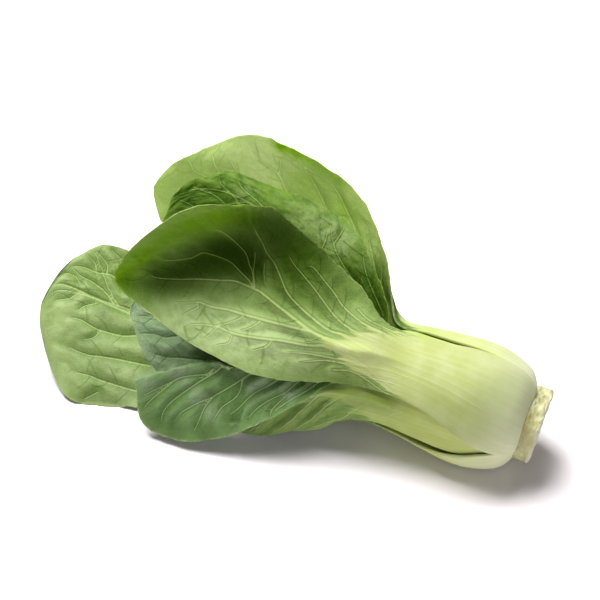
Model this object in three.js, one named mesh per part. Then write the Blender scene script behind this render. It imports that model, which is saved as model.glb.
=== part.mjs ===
// A head of bok choy, the green-stemmed kind, cut from its root and laid on its side.
// Eight full leaves and three small heart leaves wrap a short stump. Each leaf is one solid:
// a thick, spoon-shaped stalk that runs out into a thin, waved blade. Millimetres, +Z up.
// The head lies along X, with the cut stump at +X. The origin is on the table, under the
// middle of the bounding box.
import * as THREE from "three";

const radians = THREE.MathUtils.degToRad;
const smooth = (from, to, x) => THREE.MathUtils.smoothstep(x, from, to);

// How the head lies. Its own frame has s along the axis from the cut face to the tips, and
// two directions square to that axis: q, up and back, and w, out of the side that shows.
const CUT_FACE = new THREE.Vector3(123.44, -10.5, 23.4);
const PITCH = radians(9.5); // how steeply the axis climbs from the stump to the tips
const SHOWN = radians(50); // from straight up round to the side that shows

const AXIS = new THREE.Vector3(-Math.cos(PITCH), 0, Math.sin(PITCH));
const RISE = new THREE.Vector3(Math.sin(PITCH), 0, Math.cos(PITCH));
const FORWARD = new THREE.Vector3(0, -1, 0);
const ACROSS = RISE.clone()
  .multiplyScalar(Math.sin(SHOWN))
  .addScaledVector(FORWARD, -Math.cos(SHOWN));
const OUTWARD = RISE.clone()
  .multiplyScalar(Math.cos(SHOWN))
  .addScaledVector(FORWARD, Math.sin(SHOWN));

const GAP = 0.6; // left between two leaves that touch
const RIM_REACH = 18; // degrees past its edge over which a rim holds off the leaves inside it
const BLADE = 0.9; // thickness of a blade
const MIDRIB = 0.6; // height of the midrib where the stalk ends, as a share of the stalk
const MIDRIB_WIDTH = 0.16; // its width, as a share of half the blade
const MIDRIB_FADE = 0.45; // how far up the leaf the midrib starts to fade, as a share
const CROWN = 1.4; // how soon a stalk thins from its middle towards its edges
const FOOT = { thickness: 0.3, height: 18 }; // a stalk's foot, as a share of it, and where full
const RIM_FOOT = { thickness: 0.6, height: 8 }; // the same for its rim
const NECK_SPREAD = { before: 5, after: 15 }; // round the loose stretch, where stalk turns blade
const RUFFLE_SPREAD = { after: 10, full: 30 }; // past the loose stretch, where waves grow
const SIDE_LAG = 0.4; // how far the waves of the right margin run ahead of the left

// Radius of the whole head at s: the swollen base and the waist above it.
const HEAD_RADIUS = [
  [6, 18.4],
  [8, 21],
  [11, 24],
  [15, 26.6],
  [20, 28.4],
  [28, 30],
  [38, 30.1],
  [50, 28.8],
  [65, 27.5],
  [80, 27],
  [110, 26],
];

// The leaves from the outside in.
//   turn, wrap  where the stalk is round the axis, from q towards w, and how far it reaches each
//               way, at [s, degrees]
//   stalk, rim  its thickness in the middle and at the edge
//   foot        where it leaves the stump
//   loose       the stretch over which it leaves the bundle
//   blade       points of the blade, [s, q, w]. Each row goes across it from its left edge over
//               the midrib to its right edge, as its inner face is seen with the tip up. The rows
//               go from the neck to the tip.
//   ruffle      height, waves along each edge and phase
//   grid        faces up it and across it
const LEAVES = [
  {
    name: "front_leaf",
    turn: [[0, 82], [16, 80], [52, 71], [80, 72]],
    wrap: [[0, 52], [16, 51], [30, 46], [52, 38], [72, 34], [90, 32]],
    stalk: 8, rim: 1.7, foot: 7.4, loose: [62, 92],
    blade: [
      [[80, 23, 17], [80, 17, 23], [80, 8, 26], [80, -1, 25], [80, -9, 20]],
      [[91, 29, 18], [93, 18, 24], [95, 6, 26], [95, -3, 25], [94, -11, 22]],
      [[104, 37, 19], [107, 22, 24], [111, 6, 26], [112, -6, 25], [112, -17, 22]],
      [[117, 43, 21], [122, 27, 23], [127, 10, 22], [131, -5, 22], [135, -20, 20]],
      [[129, 48, 23], [134, 32, 19], [139, 15, 16], [149, -2, 16], [160, -18, 19]],
      [[140, 52, 27], [143, 38, 18], [148, 21, 9], [166, 4, 10], [184, -12, 19]],
      [[148, 55, 32], [150, 45, 24], [154, 30, 11], [180, 14, 12], [206, -2, 24]],
      [[157, 53, 35], [160, 48, 33], [166, 40, 25], [187, 27, 25], [203, 12, 34]],
      [[167, 50, 36], [172, 48, 37], [178, 45, 38], [187, 39, 39], [194, 31, 39]],
    ],
    ruffle: [1.0, 2.5, 0.3],
    grid: [28, 14],
  },
  {
    name: "under_leaf",
    turn: [[0, 222], [90, 222]],
    wrap: [[0, 95], [16, 86], [30, 72], [46, 60], [60, 52], [90, 44]],
    stalk: 8, rim: 1.7, foot: 7.4, loose: [36, 80],
    blade: [
      [[64, -25, 2], [64, -24, -8], [64, -17, -17], [64, -9, -23], [64, 1, -25]],
      [[90, -28, -4], [90, -27, -14], [90, -20, -23], [89, -13, -30], [88, -6, -36]],
      [[116, -38, -10], [117, -33, -20], [118, -22, -28], [116, -15, -37], [114, -11, -46]],
      [[142, -47, -13], [144, -37, -23], [145, -22, -32], [144, -16, -44], [142, -14, -57]],
      [[168, -56, -14], [170, -40, -23], [172, -20, -33], [172, -12, -43], [172, -8, -53]],
      [[190, -61, -13], [194, -42, -21], [198, -18, -31], [199, -6, -38], [200, 2, -45]],
      [[211, -67, -12], [219, -43, -18], [224, -18, -26], [226, -4, -32], [227, 8, -36]],
      [[229, -60, -17], [236, -41, -19], [241, -20, -22], [241, -11, -26], [240, -2, -30]],
      [[245, -44, -20], [246, -37, -20], [247, -29, -21], [247, -22, -22], [246, -15, -24]],
    ],
    ruffle: [1.6, 3.5, 0.1],
    grid: [28, 14],
  },
  {
    name: "back_leaf",
    turn: [[0, 333], [90, 333]],
    wrap: [[0, 62], [16, 57], [30, 50], [50, 43], [70, 38], [90, 34]],
    stalk: 8, rim: 1.7, foot: 7.4, loose: [55, 85],
    blade: [
      [[76, 10, -20], [76, 17, -16], [76, 21, -11], [76, 23, -4], [76, 22, 3]],
      [[90, 12, -23], [89, 21, -20], [88, 28, -15], [87, 33, -9], [86, 34, -4]],
      [[108, 16, -27], [105, 26, -27], [102, 36, -21], [98, 46, -14], [96, 53, -9]],
      [[130, 19, -31], [125, 31, -33], [120, 44, -27], [116, 58, -20], [114, 69, -12]],
      [[152, 22, -34], [146, 36, -36], [140, 51, -32], [138, 68, -24], [138, 81, -14]],
      [[175, 24, -35], [168, 39, -37], [162, 54, -33], [163, 70, -25], [164, 83, -15]],
      [[192, 29, -33], [188, 40, -34], [184, 53, -30], [185, 66, -24], [185, 78, -15]],
      [[204, 27, -25], [204, 36, -25], [204, 45, -22], [203, 54, -20], [202, 62, -16]],
      [[212, 36, -21], [213, 40, -20], [213, 43, -20], [213, 46, -19], [212, 49, -18]],
    ],
    ruffle: [1.4, 3, 0.6],
    grid: [28, 14],
  },
  {
    name: "side_leaf",
    turn: [[0, 117], [40, 119], [60, 122], [90, 122]],
    wrap: [[0, 50], [16, 44], [30, 37], [46, 38], [70, 40], [90, 38]],
    stalk: 7, rim: 1.5, foot: 8.4, loose: [58, 84],
    blade: [
      [[74, 1, 17], [74, -5, 18], [74, -12, 18], [74, -19, 13], [74, -24, 7]],
      [[89, -4, 19], [88, -8, 19], [88, -14, 17], [87, -21, 13], [87, -28, 7]],
      [[99, -15, 19], [99, -8, 18], [98, -17, 13], [98, -27, 8], [98, -37, 3]],
      [[111, -30, 17], [111, -12, 17], [110, -24, 9], [110, -33, 4], [110, -43, 1]],
      [[124, -44, 13], [124, -14, 15], [122, -28, 6], [121, -38, 2], [120, -48, -1]],
      [[139, -56, 9], [138, -19, 13], [135, -32, 3], [134, -42, -1], [133, -52, -4]],
      [[157, -64, 4], [152, -23, 12], [149, -37, 2], [147, -46, -2], [146, -54, -5]],
      [[177, -63, 3], [169, -33, 9], [166, -42, 2], [163, -49, -1], [160, -55, -4]],
      [[188, -53, 5], [188, -46, 6], [184, -47, 4], [179, -51, 1], [175, -55, -1]],
    ],
    ruffle: [0.8, 3, 0.2],
    grid: [28, 14],
  },
  {
    name: "far_leaf",
    turn: [[0, 264], [90, 267]],
    wrap: [[0, 50], [30, 44], [90, 40]],
    stalk: 6, rim: 1.5, foot: 9.2, loose: [60, 90],
    blade: [
      [[78, -12, -15], [78, -6, -18], [78, 1, -19], [78, 8, -17], [78, 13, -13]],
      [[98, -20, -18], [98, -10, -21], [98, 2, -23], [98, 12, -21], [98, 20, -17]],
      [[120, -25, -19], [120, -13, -24], [120, 3, -27], [120, 16, -24], [120, 27, -18]],
      [[145, -26, -19], [145, -12, -26], [145, 5, -30], [145, 19, -25], [145, 31, -19]],
      [[167, -21, -20], [168, -9, -26], [169, 6, -30], [169, 18, -26], [168, 28, -20]],
      [[184, -9, -23], [186, -2, -26], [187, 6, -28], [187, 13, -26], [186, 20, -23]],
      [[195, 4, -26], [195, 5, -26], [196, 7, -27], [196, 8, -26], [195, 10, -26]],
    ],
    ruffle: [1.2, 3, 0.4],
    grid: [28, 14],
  },
  {
    name: "second_front_leaf",
    turn: [[0, 49], [90, 46]],
    wrap: [[0, 60], [20, 56], [50, 50], [90, 42]],
    stalk: 5.5, rim: 1.4, foot: 10, loose: [66, 92],
    blade: [
      [[80, 15, 3], [80, 13, 8], [80, 10, 11], [80, 7, 12], [80, 2, 13]],
      [[94, 24, 8], [95, 19, 13], [96, 13, 17], [96, 7, 17], [96, 1, 16]],
      [[112, 32, 9], [113, 24, 13], [115, 15, 15], [116, 5, 15], [116, -4, 13]],
      [[132, 37, 8], [133, 28, 10], [135, 17, 10], [137, 5, 9], [138, -6, 8]],
      [[152, 38, 3], [153, 29, 3], [155, 18, 2], [157, 6, 2], [158, -5, 2]],
      [[169, 33, 1], [171, 26, 1], [172, 17, 1], [173, 8, 1], [174, -1, 1]],
      [[183, 21, 1], [184, 19, 1], [185, 16, 1], [185, 13, 1], [185, 10, 1]],
    ],
    ruffle: [0.8, 3, 0.5],
    grid: [28, 14],
  },
  {
    name: "low_leaf",
    turn: [[0, 195], [90, 200]],
    wrap: [[0, 64], [20, 60], [50, 54], [90, 46]],
    stalk: 5, rim: 1.3, foot: 11, loose: [66, 92],
    blade: [
      [[78, -12, 6], [78, -13, 0], [78, -12, -5], [78, -8, -9], [78, -3, -12]],
      [[92, -22, 1], [92, -19, -4], [92, -14, -8], [91, -8, -11], [90, -1, -13]],
      [[112, -33, -4], [112, -25, -8], [112, -15, -11], [110, -4, -12], [108, 6, -13]],
      [[136, -40, -8], [135, -28, -11], [134, -15, -12], [132, -1, -12], [130, 10, -12]],
      [[160, -42, -8], [159, -29, -10], [158, -15, -10], [157, -1, -9], [156, 12, -9]],
      [[176, -40, -6], [178, -27, -6], [180, -14, -6], [179, -2, -5], [178, 9, -5]],
      [[188, -32, -4], [192, -23, -3], [194, -14, -3], [195, -6, -3], [194, 2, -3]],
      [[200, -18, -2], [201, -15, -2], [201, -13, -1], [201, -11, -1], [200, -8, -2]],
    ],
    ruffle: [1.0, 3, 0.7],
    grid: [28, 14],
  },
  {
    name: "second_back_leaf",
    turn: [[0, 305], [90, 312]],
    wrap: [[0, 66], [20, 62], [50, 56], [90, 46]],
    stalk: 4.5, rim: 1.2, foot: 12, loose: [60, 88],
    blade: [
      [[76, 2, -13], [76, 7, -10], [76, 11, -7], [76, 13, -3], [76, 14, 0]],
      [[92, 3, -12], [90, 12, -9], [88, 19, -6], [86, 24, -2], [85, 28, 2]],
      [[110, 6, -10], [107, 18, -8], [104, 29, -5], [100, 36, -3], [97, 43, -2]],
      [[132, 10, -9], [127, 25, -7], [122, 39, -4], [118, 49, -4], [115, 58, -6]],
      [[156, 15, -8], [148, 31, -6], [140, 47, -3], [138, 56, -5], [138, 62, -9]],
      [[177, 21, -7], [167, 37, -5], [158, 51, -3], [159, 58, -5], [161, 63, -8]],
      [[194, 25, -6], [184, 40, -4], [175, 53, -3], [177, 58, -4], [179, 62, -6]],
      [[200, 28, -5], [195, 40, -3], [189, 50, -3], [189, 54, -3], [188, 56, -4]],
      [[200, 35, -4], [200, 39, -3], [199, 43, -3], [197, 46, -3], [195, 49, -4]],
    ],
    ruffle: [1.2, 3.5, 0.0],
    grid: [28, 14],
  },
  {
    name: "heart_leaf_1",
    turn: [[0, 100], [90, 104]],
    wrap: [[0, 46], [90, 42]],
    stalk: 3.4, rim: 1.1, foot: 15, loose: [60, 85],
    blade: [
      [[76, 3, 9], [76, -1, 9], [76, -5, 8], [76, -7, 5], [76, -8, 1]],
      [[95, 5, 10], [95, -1, 11], [95, -6, 9], [95, -9, 6], [95, -11, 1]],
      [[115, 8, 8], [115, 1, 9], [115, -6, 8], [115, -11, 5], [115, -14, 0]],
      [[132, 8, 4], [132, 1, 5], [132, -5, 4], [132, -10, 2], [132, -13, -1]],
      [[145, 0, 1], [145, -1, 1], [145, -3, 1], [145, -5, 0], [145, -6, 0]],
    ],
    ruffle: [0.6, 3, 0.0],
    grid: [18, 10],
  },
  {
    name: "heart_leaf_2",
    turn: [[0, 226], [90, 230]],
    wrap: [[0, 46], [90, 42]],
    stalk: 2.8, rim: 1, foot: 17, loose: [54, 78],
    blade: [
      [[70, -7, -1], [70, -5, -5], [70, -2, -7], [70, 2, -7], [70, 5, -5]],
      [[88, -8, -2], [88, -6, -5], [88, -2, -7], [88, 3, -7], [88, 7, -5]],
      [[104, -9, -2], [104, -6, -5], [104, -1, -7], [104, 5, -6], [104, 10, -3]],
      [[118, -7, -1], [118, -4, -4], [118, 1, -5], [118, 6, -4], [118, 10, -2]],
      [[128, -1, -3], [128, 0, -3], [128, 2, -3], [128, 4, -3], [128, 5, -3]],
    ],
    ruffle: [0.5, 3, 0.5],
    grid: [18, 10],
  },
  {
    name: "heart_leaf_3",
    turn: [[0, 350], [90, 355]],
    wrap: [[0, 48], [90, 44]],
    stalk: 2.4, rim: 1, foot: 19, loose: [50, 70],
    blade: [
      [[62, 3, -2], [62, 5, -1], [62, 5, 1], [62, 5, 3], [62, 3, 5]],
      [[76, 4, -2], [76, 6, -1], [76, 7, 1], [76, 7, 4], [76, 5, 6]],
      [[90, 5, -2], [90, 7, 0], [90, 8, 2], [90, 8, 4], [90, 6, 7]],
      [[102, 6, 0], [102, 8, 1], [102, 9, 3], [102, 9, 4], [102, 8, 6]],
      [[110, 8, 2], [110, 9, 2], [110, 9, 3], [110, 9, 3], [110, 9, 4]],
    ],
    ruffle: [0.4, 3, 0.2],
    grid: [18, 10],
  },
];

// A smooth curve through points at whole steps of t. Each point is a list of numbers.
function along(points, t) {
  const last = points.length - 1;
  const i = Math.min(Math.floor(Math.max(t, 0)), last - 1);
  const x = t - i;
  const [b, c] = [points[i], points[i + 1]];
  const [a, d] = [points[Math.max(i - 1, 0)], points[Math.min(i + 2, last)]];
  return b.map((start, k) => {
    const cubic = 3 * (start - c[k]) + d[k] - a[k];
    const square = 2 * a[k] - 5 * start + 4 * c[k] - d[k];
    return start + 0.5 * x * (c[k] - a[k] + x * (square + x * cubic));
  });
}

// The value at s of a table of [s, value], eased between its rows.
function at(table, s) {
  const last = table.length - 1;
  if (s <= table[0][0]) return table[0][1];
  if (s >= table[last][0]) return table[last][1];
  const i = table.findIndex((row) => row[0] >= s) - 1;
  return along(table.map((row) => [row[1]]), i + (s - table[i][0]) / (table[i + 1][0] - table[i][0]))[0];
}

// A point of the head's own frame, on the table.
const place = ([s, q, w]) =>
  CUT_FACE.clone()
    .addScaledVector(AXIS, s)
    .addScaledVector(ACROSS, q)
    .addScaledVector(OUTWARD, w);

// The share of its full thickness that a foot has at a height above its start.
const grow = (foot, height) =>
  THREE.MathUtils.lerp(foot.thickness, 1, smooth(0, foot.height, height));

// How much of the head's radius a stalk takes at s and at an angle round the axis, with the gap
// to its neighbour. Just past its edge it still holds the leaves inside it down, as a rim does.
function room(leaf, s, angle) {
  const wrap = at(leaf.wrap, s);
  const off = Math.abs(THREE.MathUtils.euclideanModulo(angle - at(leaf.turn, s) + 180, 360) - 180);
  const grown = grow(FOOT, s - leaf.foot);
  const rim = leaf.rim * grow(RIM_FOOT, s - leaf.foot);
  const past = Math.max(0, off - wrap - RIM_REACH);
  const flesh = leaf.stalk * grown * Math.max(0, 1 - (off / wrap) ** 2) ** CROWN;
  return flesh + (rim + GAP) * Math.exp(-((past / RIM_REACH) ** 2));
}

// A point of a stalk's middle surface in the bundle, inside the leaves round it. v goes from its
// left edge to its right one, -1 to 1.
function bundled(index, s, v) {
  const leaf = LEAVES[index];
  const angle = at(leaf.turn, s) + v * at(leaf.wrap, s);
  const outer = LEAVES.slice(0, index);
  const outside = outer.reduce((r, wrapped) => r - room(wrapped, s, angle), at(HEAD_RADIUS, s));
  const r = outside - room(leaf, s, angle) / 2;
  return [s, r * Math.cos(radians(angle)), r * Math.sin(radians(angle))];
}

const ACROSS_LEAF = [-1, -0.5, 0, 0.5, 1];
const UP_STALK = [0, 0.06, 0.16, 0.36, 0.66]; // the rows of a stalk, as shares of its height

// All the rows of a leaf: those of its stalk, from the bundle, and then those of its blade.
function rowsOf(index) {
  const { foot, blade } = LEAVES[index];
  const neck = blade[0][2][0];
  const stalk = UP_STALK.map((share) => {
    const s = foot + (neck - foot) * share;
    return ACROSS_LEAF.map((v) => bundled(index, s, v));
  });
  return [...stalk, ...blade];
}

const ROUND_TIP = 1.2; // how many rows the round end of a blade takes
const TIP_WIDTH = 0.06; // how wide the very tip is, as a share of the blade

// How wide the blade still is near its tip, as a share of the width that its rows give.
function tipWidth(last, t) {
  const x = Math.max(0, (t - (last - ROUND_TIP)) / ROUND_TIP);
  return Math.max(Math.sqrt(Math.max(0, 1 - x * x)), TIP_WIDTH);
}

// A point of a leaf's middle surface, on the table.
function surface(index, rows, t, v) {
  const leaf = LEAVES[index];
  const last = rows.length - 1;
  const across = ACROSS_LEAF.map((_, k) => along(rows.map((row) => row[k]), t));
  const free = along(across, (v * tipWidth(last, t) + 1) * 2);
  const s = free[0];
  const loose = smooth(leaf.loose[0], leaf.loose[1], s);
  return place(free).lerp(place(bundled(index, s, v)), 1 - loose);
}

// The direction that points at the axis, from an angle round it.
const inwardAt = (angle) =>
  ACROSS.clone()
    .multiplyScalar(-Math.cos(radians(angle)))
    .addScaledVector(OUTWARD, -Math.sin(radians(angle)));

// The point, the direction through the leaf to its inner face, and the thickness there.
function leafAt(index, rows, t, v) {
  const leaf = LEAVES[index];
  const last = rows.length - 1;
  const step = 0.02; // along and across the leaf, to find which way its surface looks
  const point = surface(index, rows, t, v);
  const forth = surface(index, rows, Math.min(t + step, last), v);
  const back = surface(index, rows, Math.max(t - step, 0), v);
  const right = surface(index, rows, t, Math.min(v + step, 1));
  const left = surface(index, rows, t, Math.max(v - step, -1));
  const looks = right.sub(left).cross(forth.sub(back)).normalize();

  const s = point.clone().sub(CUT_FACE).dot(AXIS);
  const [height, waves, phase] = leaf.ruffle;
  const [start, end] = leaf.loose;
  const free = smooth(start + RUFFLE_SPREAD.after, end + RUFFLE_SPREAD.full, s) * tipWidth(last, t);
  const turns = waves * (t / last) * 2 + phase + (v > 0 ? SIDE_LAG : 0);
  point.addScaledVector(looks, height * free * Math.abs(v) ** 3 * Math.sin(2 * Math.PI * turns));

  const angle = at(leaf.turn, s) + v * at(leaf.wrap, s);
  const stalk = room(leaf, s, angle) - GAP;
  const ridge = leaf.stalk * MIDRIB * (1 - smooth(last * MIDRIB_FADE, last, t)) ** 2;
  const rib = ridge * Math.exp(-((v / MIDRIB_WIDTH) ** 2));
  const thinned = smooth(start - NECK_SPREAD.before, end + NECK_SPREAD.after, s);
  const through = inwardAt(angle).lerp(looks, smooth(start, end, s)).normalize();
  return { point, through, thickness: THREE.MathUtils.lerp(stalk, BLADE + rib, thinned) };
}

const CROWDING = 1.15; // how much closer the faces of a leaf lie towards its tip

// One leaf as a closed solid: its outer and inner faces, split alike, and the rim between.
function leafGeometry(index) {
  const [up, across] = LEAVES[index].grid;
  const rows = rowsOf(index);
  const last = rows.length - 1;
  const outer = [];
  const inner = [];
  for (let i = 0; i <= up; i++) {
    const t = last * (1 - (1 - i / up) ** CROWDING);
    for (let j = 0; j <= across; j++) {
      const { point, through, thickness } = leafAt(index, rows, t, (2 * j) / across - 1);
      const under = point.clone().addScaledVector(through, -thickness / 2);
      const over = point.clone().addScaledVector(through, thickness / 2);
      under.z = Math.max(under.z, 0);
      over.z = Math.max(over.z, BLADE);
      outer.push(under);
      inner.push(over);
    }
  }
  const faces = [];
  const count = outer.length;
  const corner = (i, j) => i * (across + 1) + j;
  const rim = (a, b) => faces.push(a, b, count + b, a, count + b, count + a);
  for (let i = 0; i < up; i++) {
    for (let j = 0; j < across; j++) {
      const [a, b, c, d] = [corner(i, j), corner(i, j + 1), corner(i + 1, j + 1), corner(i + 1, j)];
      faces.push(a, c, b, a, d, c);
      faces.push(count + a, count + b, count + c, count + a, count + c, count + d);
    }
    rim(corner(i + 1, 0), corner(i, 0));
    rim(corner(i, across), corner(i + 1, across));
  }
  for (let j = 0; j < across; j++) {
    rim(corner(0, j), corner(0, j + 1));
    rim(corner(up, j + 1), corner(up, j));
  }
  const geometry = new THREE.BufferGeometry().setFromPoints([...outer, ...inner]);
  geometry.setIndex(faces);
  geometry.computeVertexNormals();
  return geometry;
}

// The stump: the cut face, its rough wall and the cone inside that the leaves grow from.
const STUMP_PROFILE = [
  [0, 0],
  [16.4, 0],
  [17.4, 0.9],
  [17.6, 4],
  [16.8, 6.2],
  [14.2, 7],
  [8, 11],
  [4.5, 15],
  [1.6, 19],
  [0, 21],
];

const WALL_TOP = 6.9; // how high the stump's rough wall reaches above the cut face
const LOBES = [
  { count: 5, depth: 0.025, phase: 1 },
  { count: 9, depth: 0.02, phase: 0 },
];

function stumpGeometry() {
  const profile = STUMP_PROFILE.map(([r, s]) => new THREE.Vector2(r, s));
  const geometry = new THREE.LatheGeometry(profile, 36);
  const position = geometry.getAttribute("position");
  for (let i = 0; i < position.count; i++) {
    const [x, s, z] = [position.getX(i), position.getY(i), position.getZ(i)];
    const angle = Math.atan2(z, x);
    const wave = LOBES.reduce((h, l) => h + l.depth * Math.sin(l.count * angle + l.phase), 1);
    const rough = s < WALL_TOP ? wave : 1;
    const p = place([s, x * rough, z * rough]);
    position.setXYZ(i, p.x, p.y, p.z);
  }
  geometry.computeVertexNormals();
  return geometry;
}

const head = new THREE.Group();
const flesh = new THREE.MeshStandardMaterial({ color: 0xd9dba0, roughness: 0.8, metalness: 0 });
const stump = new THREE.Mesh(stumpGeometry(), flesh);
stump.name = "stump";
head.add(stump);

LEAVES.forEach((leaf, index) => {
  const green = new THREE.MeshStandardMaterial({ color: 0x5c8a2f, roughness: 0.5, metalness: 0 });
  const mesh = new THREE.Mesh(leafGeometry(index), green);
  mesh.name = leaf.name;
  head.add(mesh);
});

export default head;
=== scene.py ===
import math

import bmesh
import bpy
import numpy as np
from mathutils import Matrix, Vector


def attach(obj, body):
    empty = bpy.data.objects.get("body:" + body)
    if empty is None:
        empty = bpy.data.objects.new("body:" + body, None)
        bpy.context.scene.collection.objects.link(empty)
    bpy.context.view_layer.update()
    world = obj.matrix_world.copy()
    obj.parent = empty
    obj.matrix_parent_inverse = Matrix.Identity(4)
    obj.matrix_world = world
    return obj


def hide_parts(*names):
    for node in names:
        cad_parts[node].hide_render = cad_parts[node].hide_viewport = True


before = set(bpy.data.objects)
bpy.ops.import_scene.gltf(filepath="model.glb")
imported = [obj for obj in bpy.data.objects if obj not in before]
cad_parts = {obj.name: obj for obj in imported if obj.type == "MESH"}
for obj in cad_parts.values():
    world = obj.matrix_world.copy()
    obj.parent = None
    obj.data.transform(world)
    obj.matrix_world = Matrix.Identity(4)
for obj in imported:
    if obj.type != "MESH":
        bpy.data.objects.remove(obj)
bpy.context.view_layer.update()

MM = 0.001

# For slopes, the step up or across a leaf. For the even bumps, how many cells they fill before
# they repeat, where they start, and how much further on the right-hand margin starts.
STEP = 0.02
NOISE_CELLS = 97
NOISE_START = (311.3, 207.7)
OTHER_MARGIN = 40

# How the head lies. Its own frame has s along the axis from the cut face to the tips, and two
# directions square to that axis: q, up and back, and w, out of the side that shows.
CUT_FACE = np.array([123.44, -10.5, 23.4])
PITCH = math.radians(9.5)
SHOWN = math.radians(50)
AXIS = np.array([-math.cos(PITCH), 0, math.sin(PITCH)])
RISE = np.array([math.sin(PITCH), 0, math.cos(PITCH)])
FORWARD = np.array([0, -1, 0])
ACROSS = RISE * math.sin(SHOWN) - FORWARD * math.cos(SHOWN)
OUTWARD = RISE * math.cos(SHOWN) + FORWARD * math.sin(SHOWN)

# What all leaves share.
#   GAP            room between one stalk and the next
#   RIM_REACH      degrees past a stalk's edge over which the room it takes fades
#   BLADE          thickness of a blade
#   MIDRIB         share of the stalk's thickness with which the midrib starts
#   MIDRIB_SPREAD  half-width of that ridge, as a share of the blade's
#   ROUND_TIP      how many rows of points the rounding of the tip takes
#   UP_STALK       where the stalk's rows are, from its foot at 0 to its neck at 1
#   ACROSS_LEAF    where the points of a row are, from the left margin to the right one
GAP = 0.6
RIM_REACH = 18
BLADE = 0.6
MIDRIB = 0.6
MIDRIB_SPREAD = 0.13
ROUND_TIP = 1.2
UP_STALK = [0, 0.06, 0.16, 0.36, 0.66]
ACROSS_LEAF = [-1, -0.5, 0, 0.5, 1]

# Radius of the whole head at s: the swollen base and the waist above it.
HEAD_RADIUS = [
    [6, 18.4], [8, 21], [11, 24], [15, 26.6], [20, 28.4], [28, 30], [38, 30.1],
    [50, 28.8], [65, 27.5], [80, 27], [110, 26],
]

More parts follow.
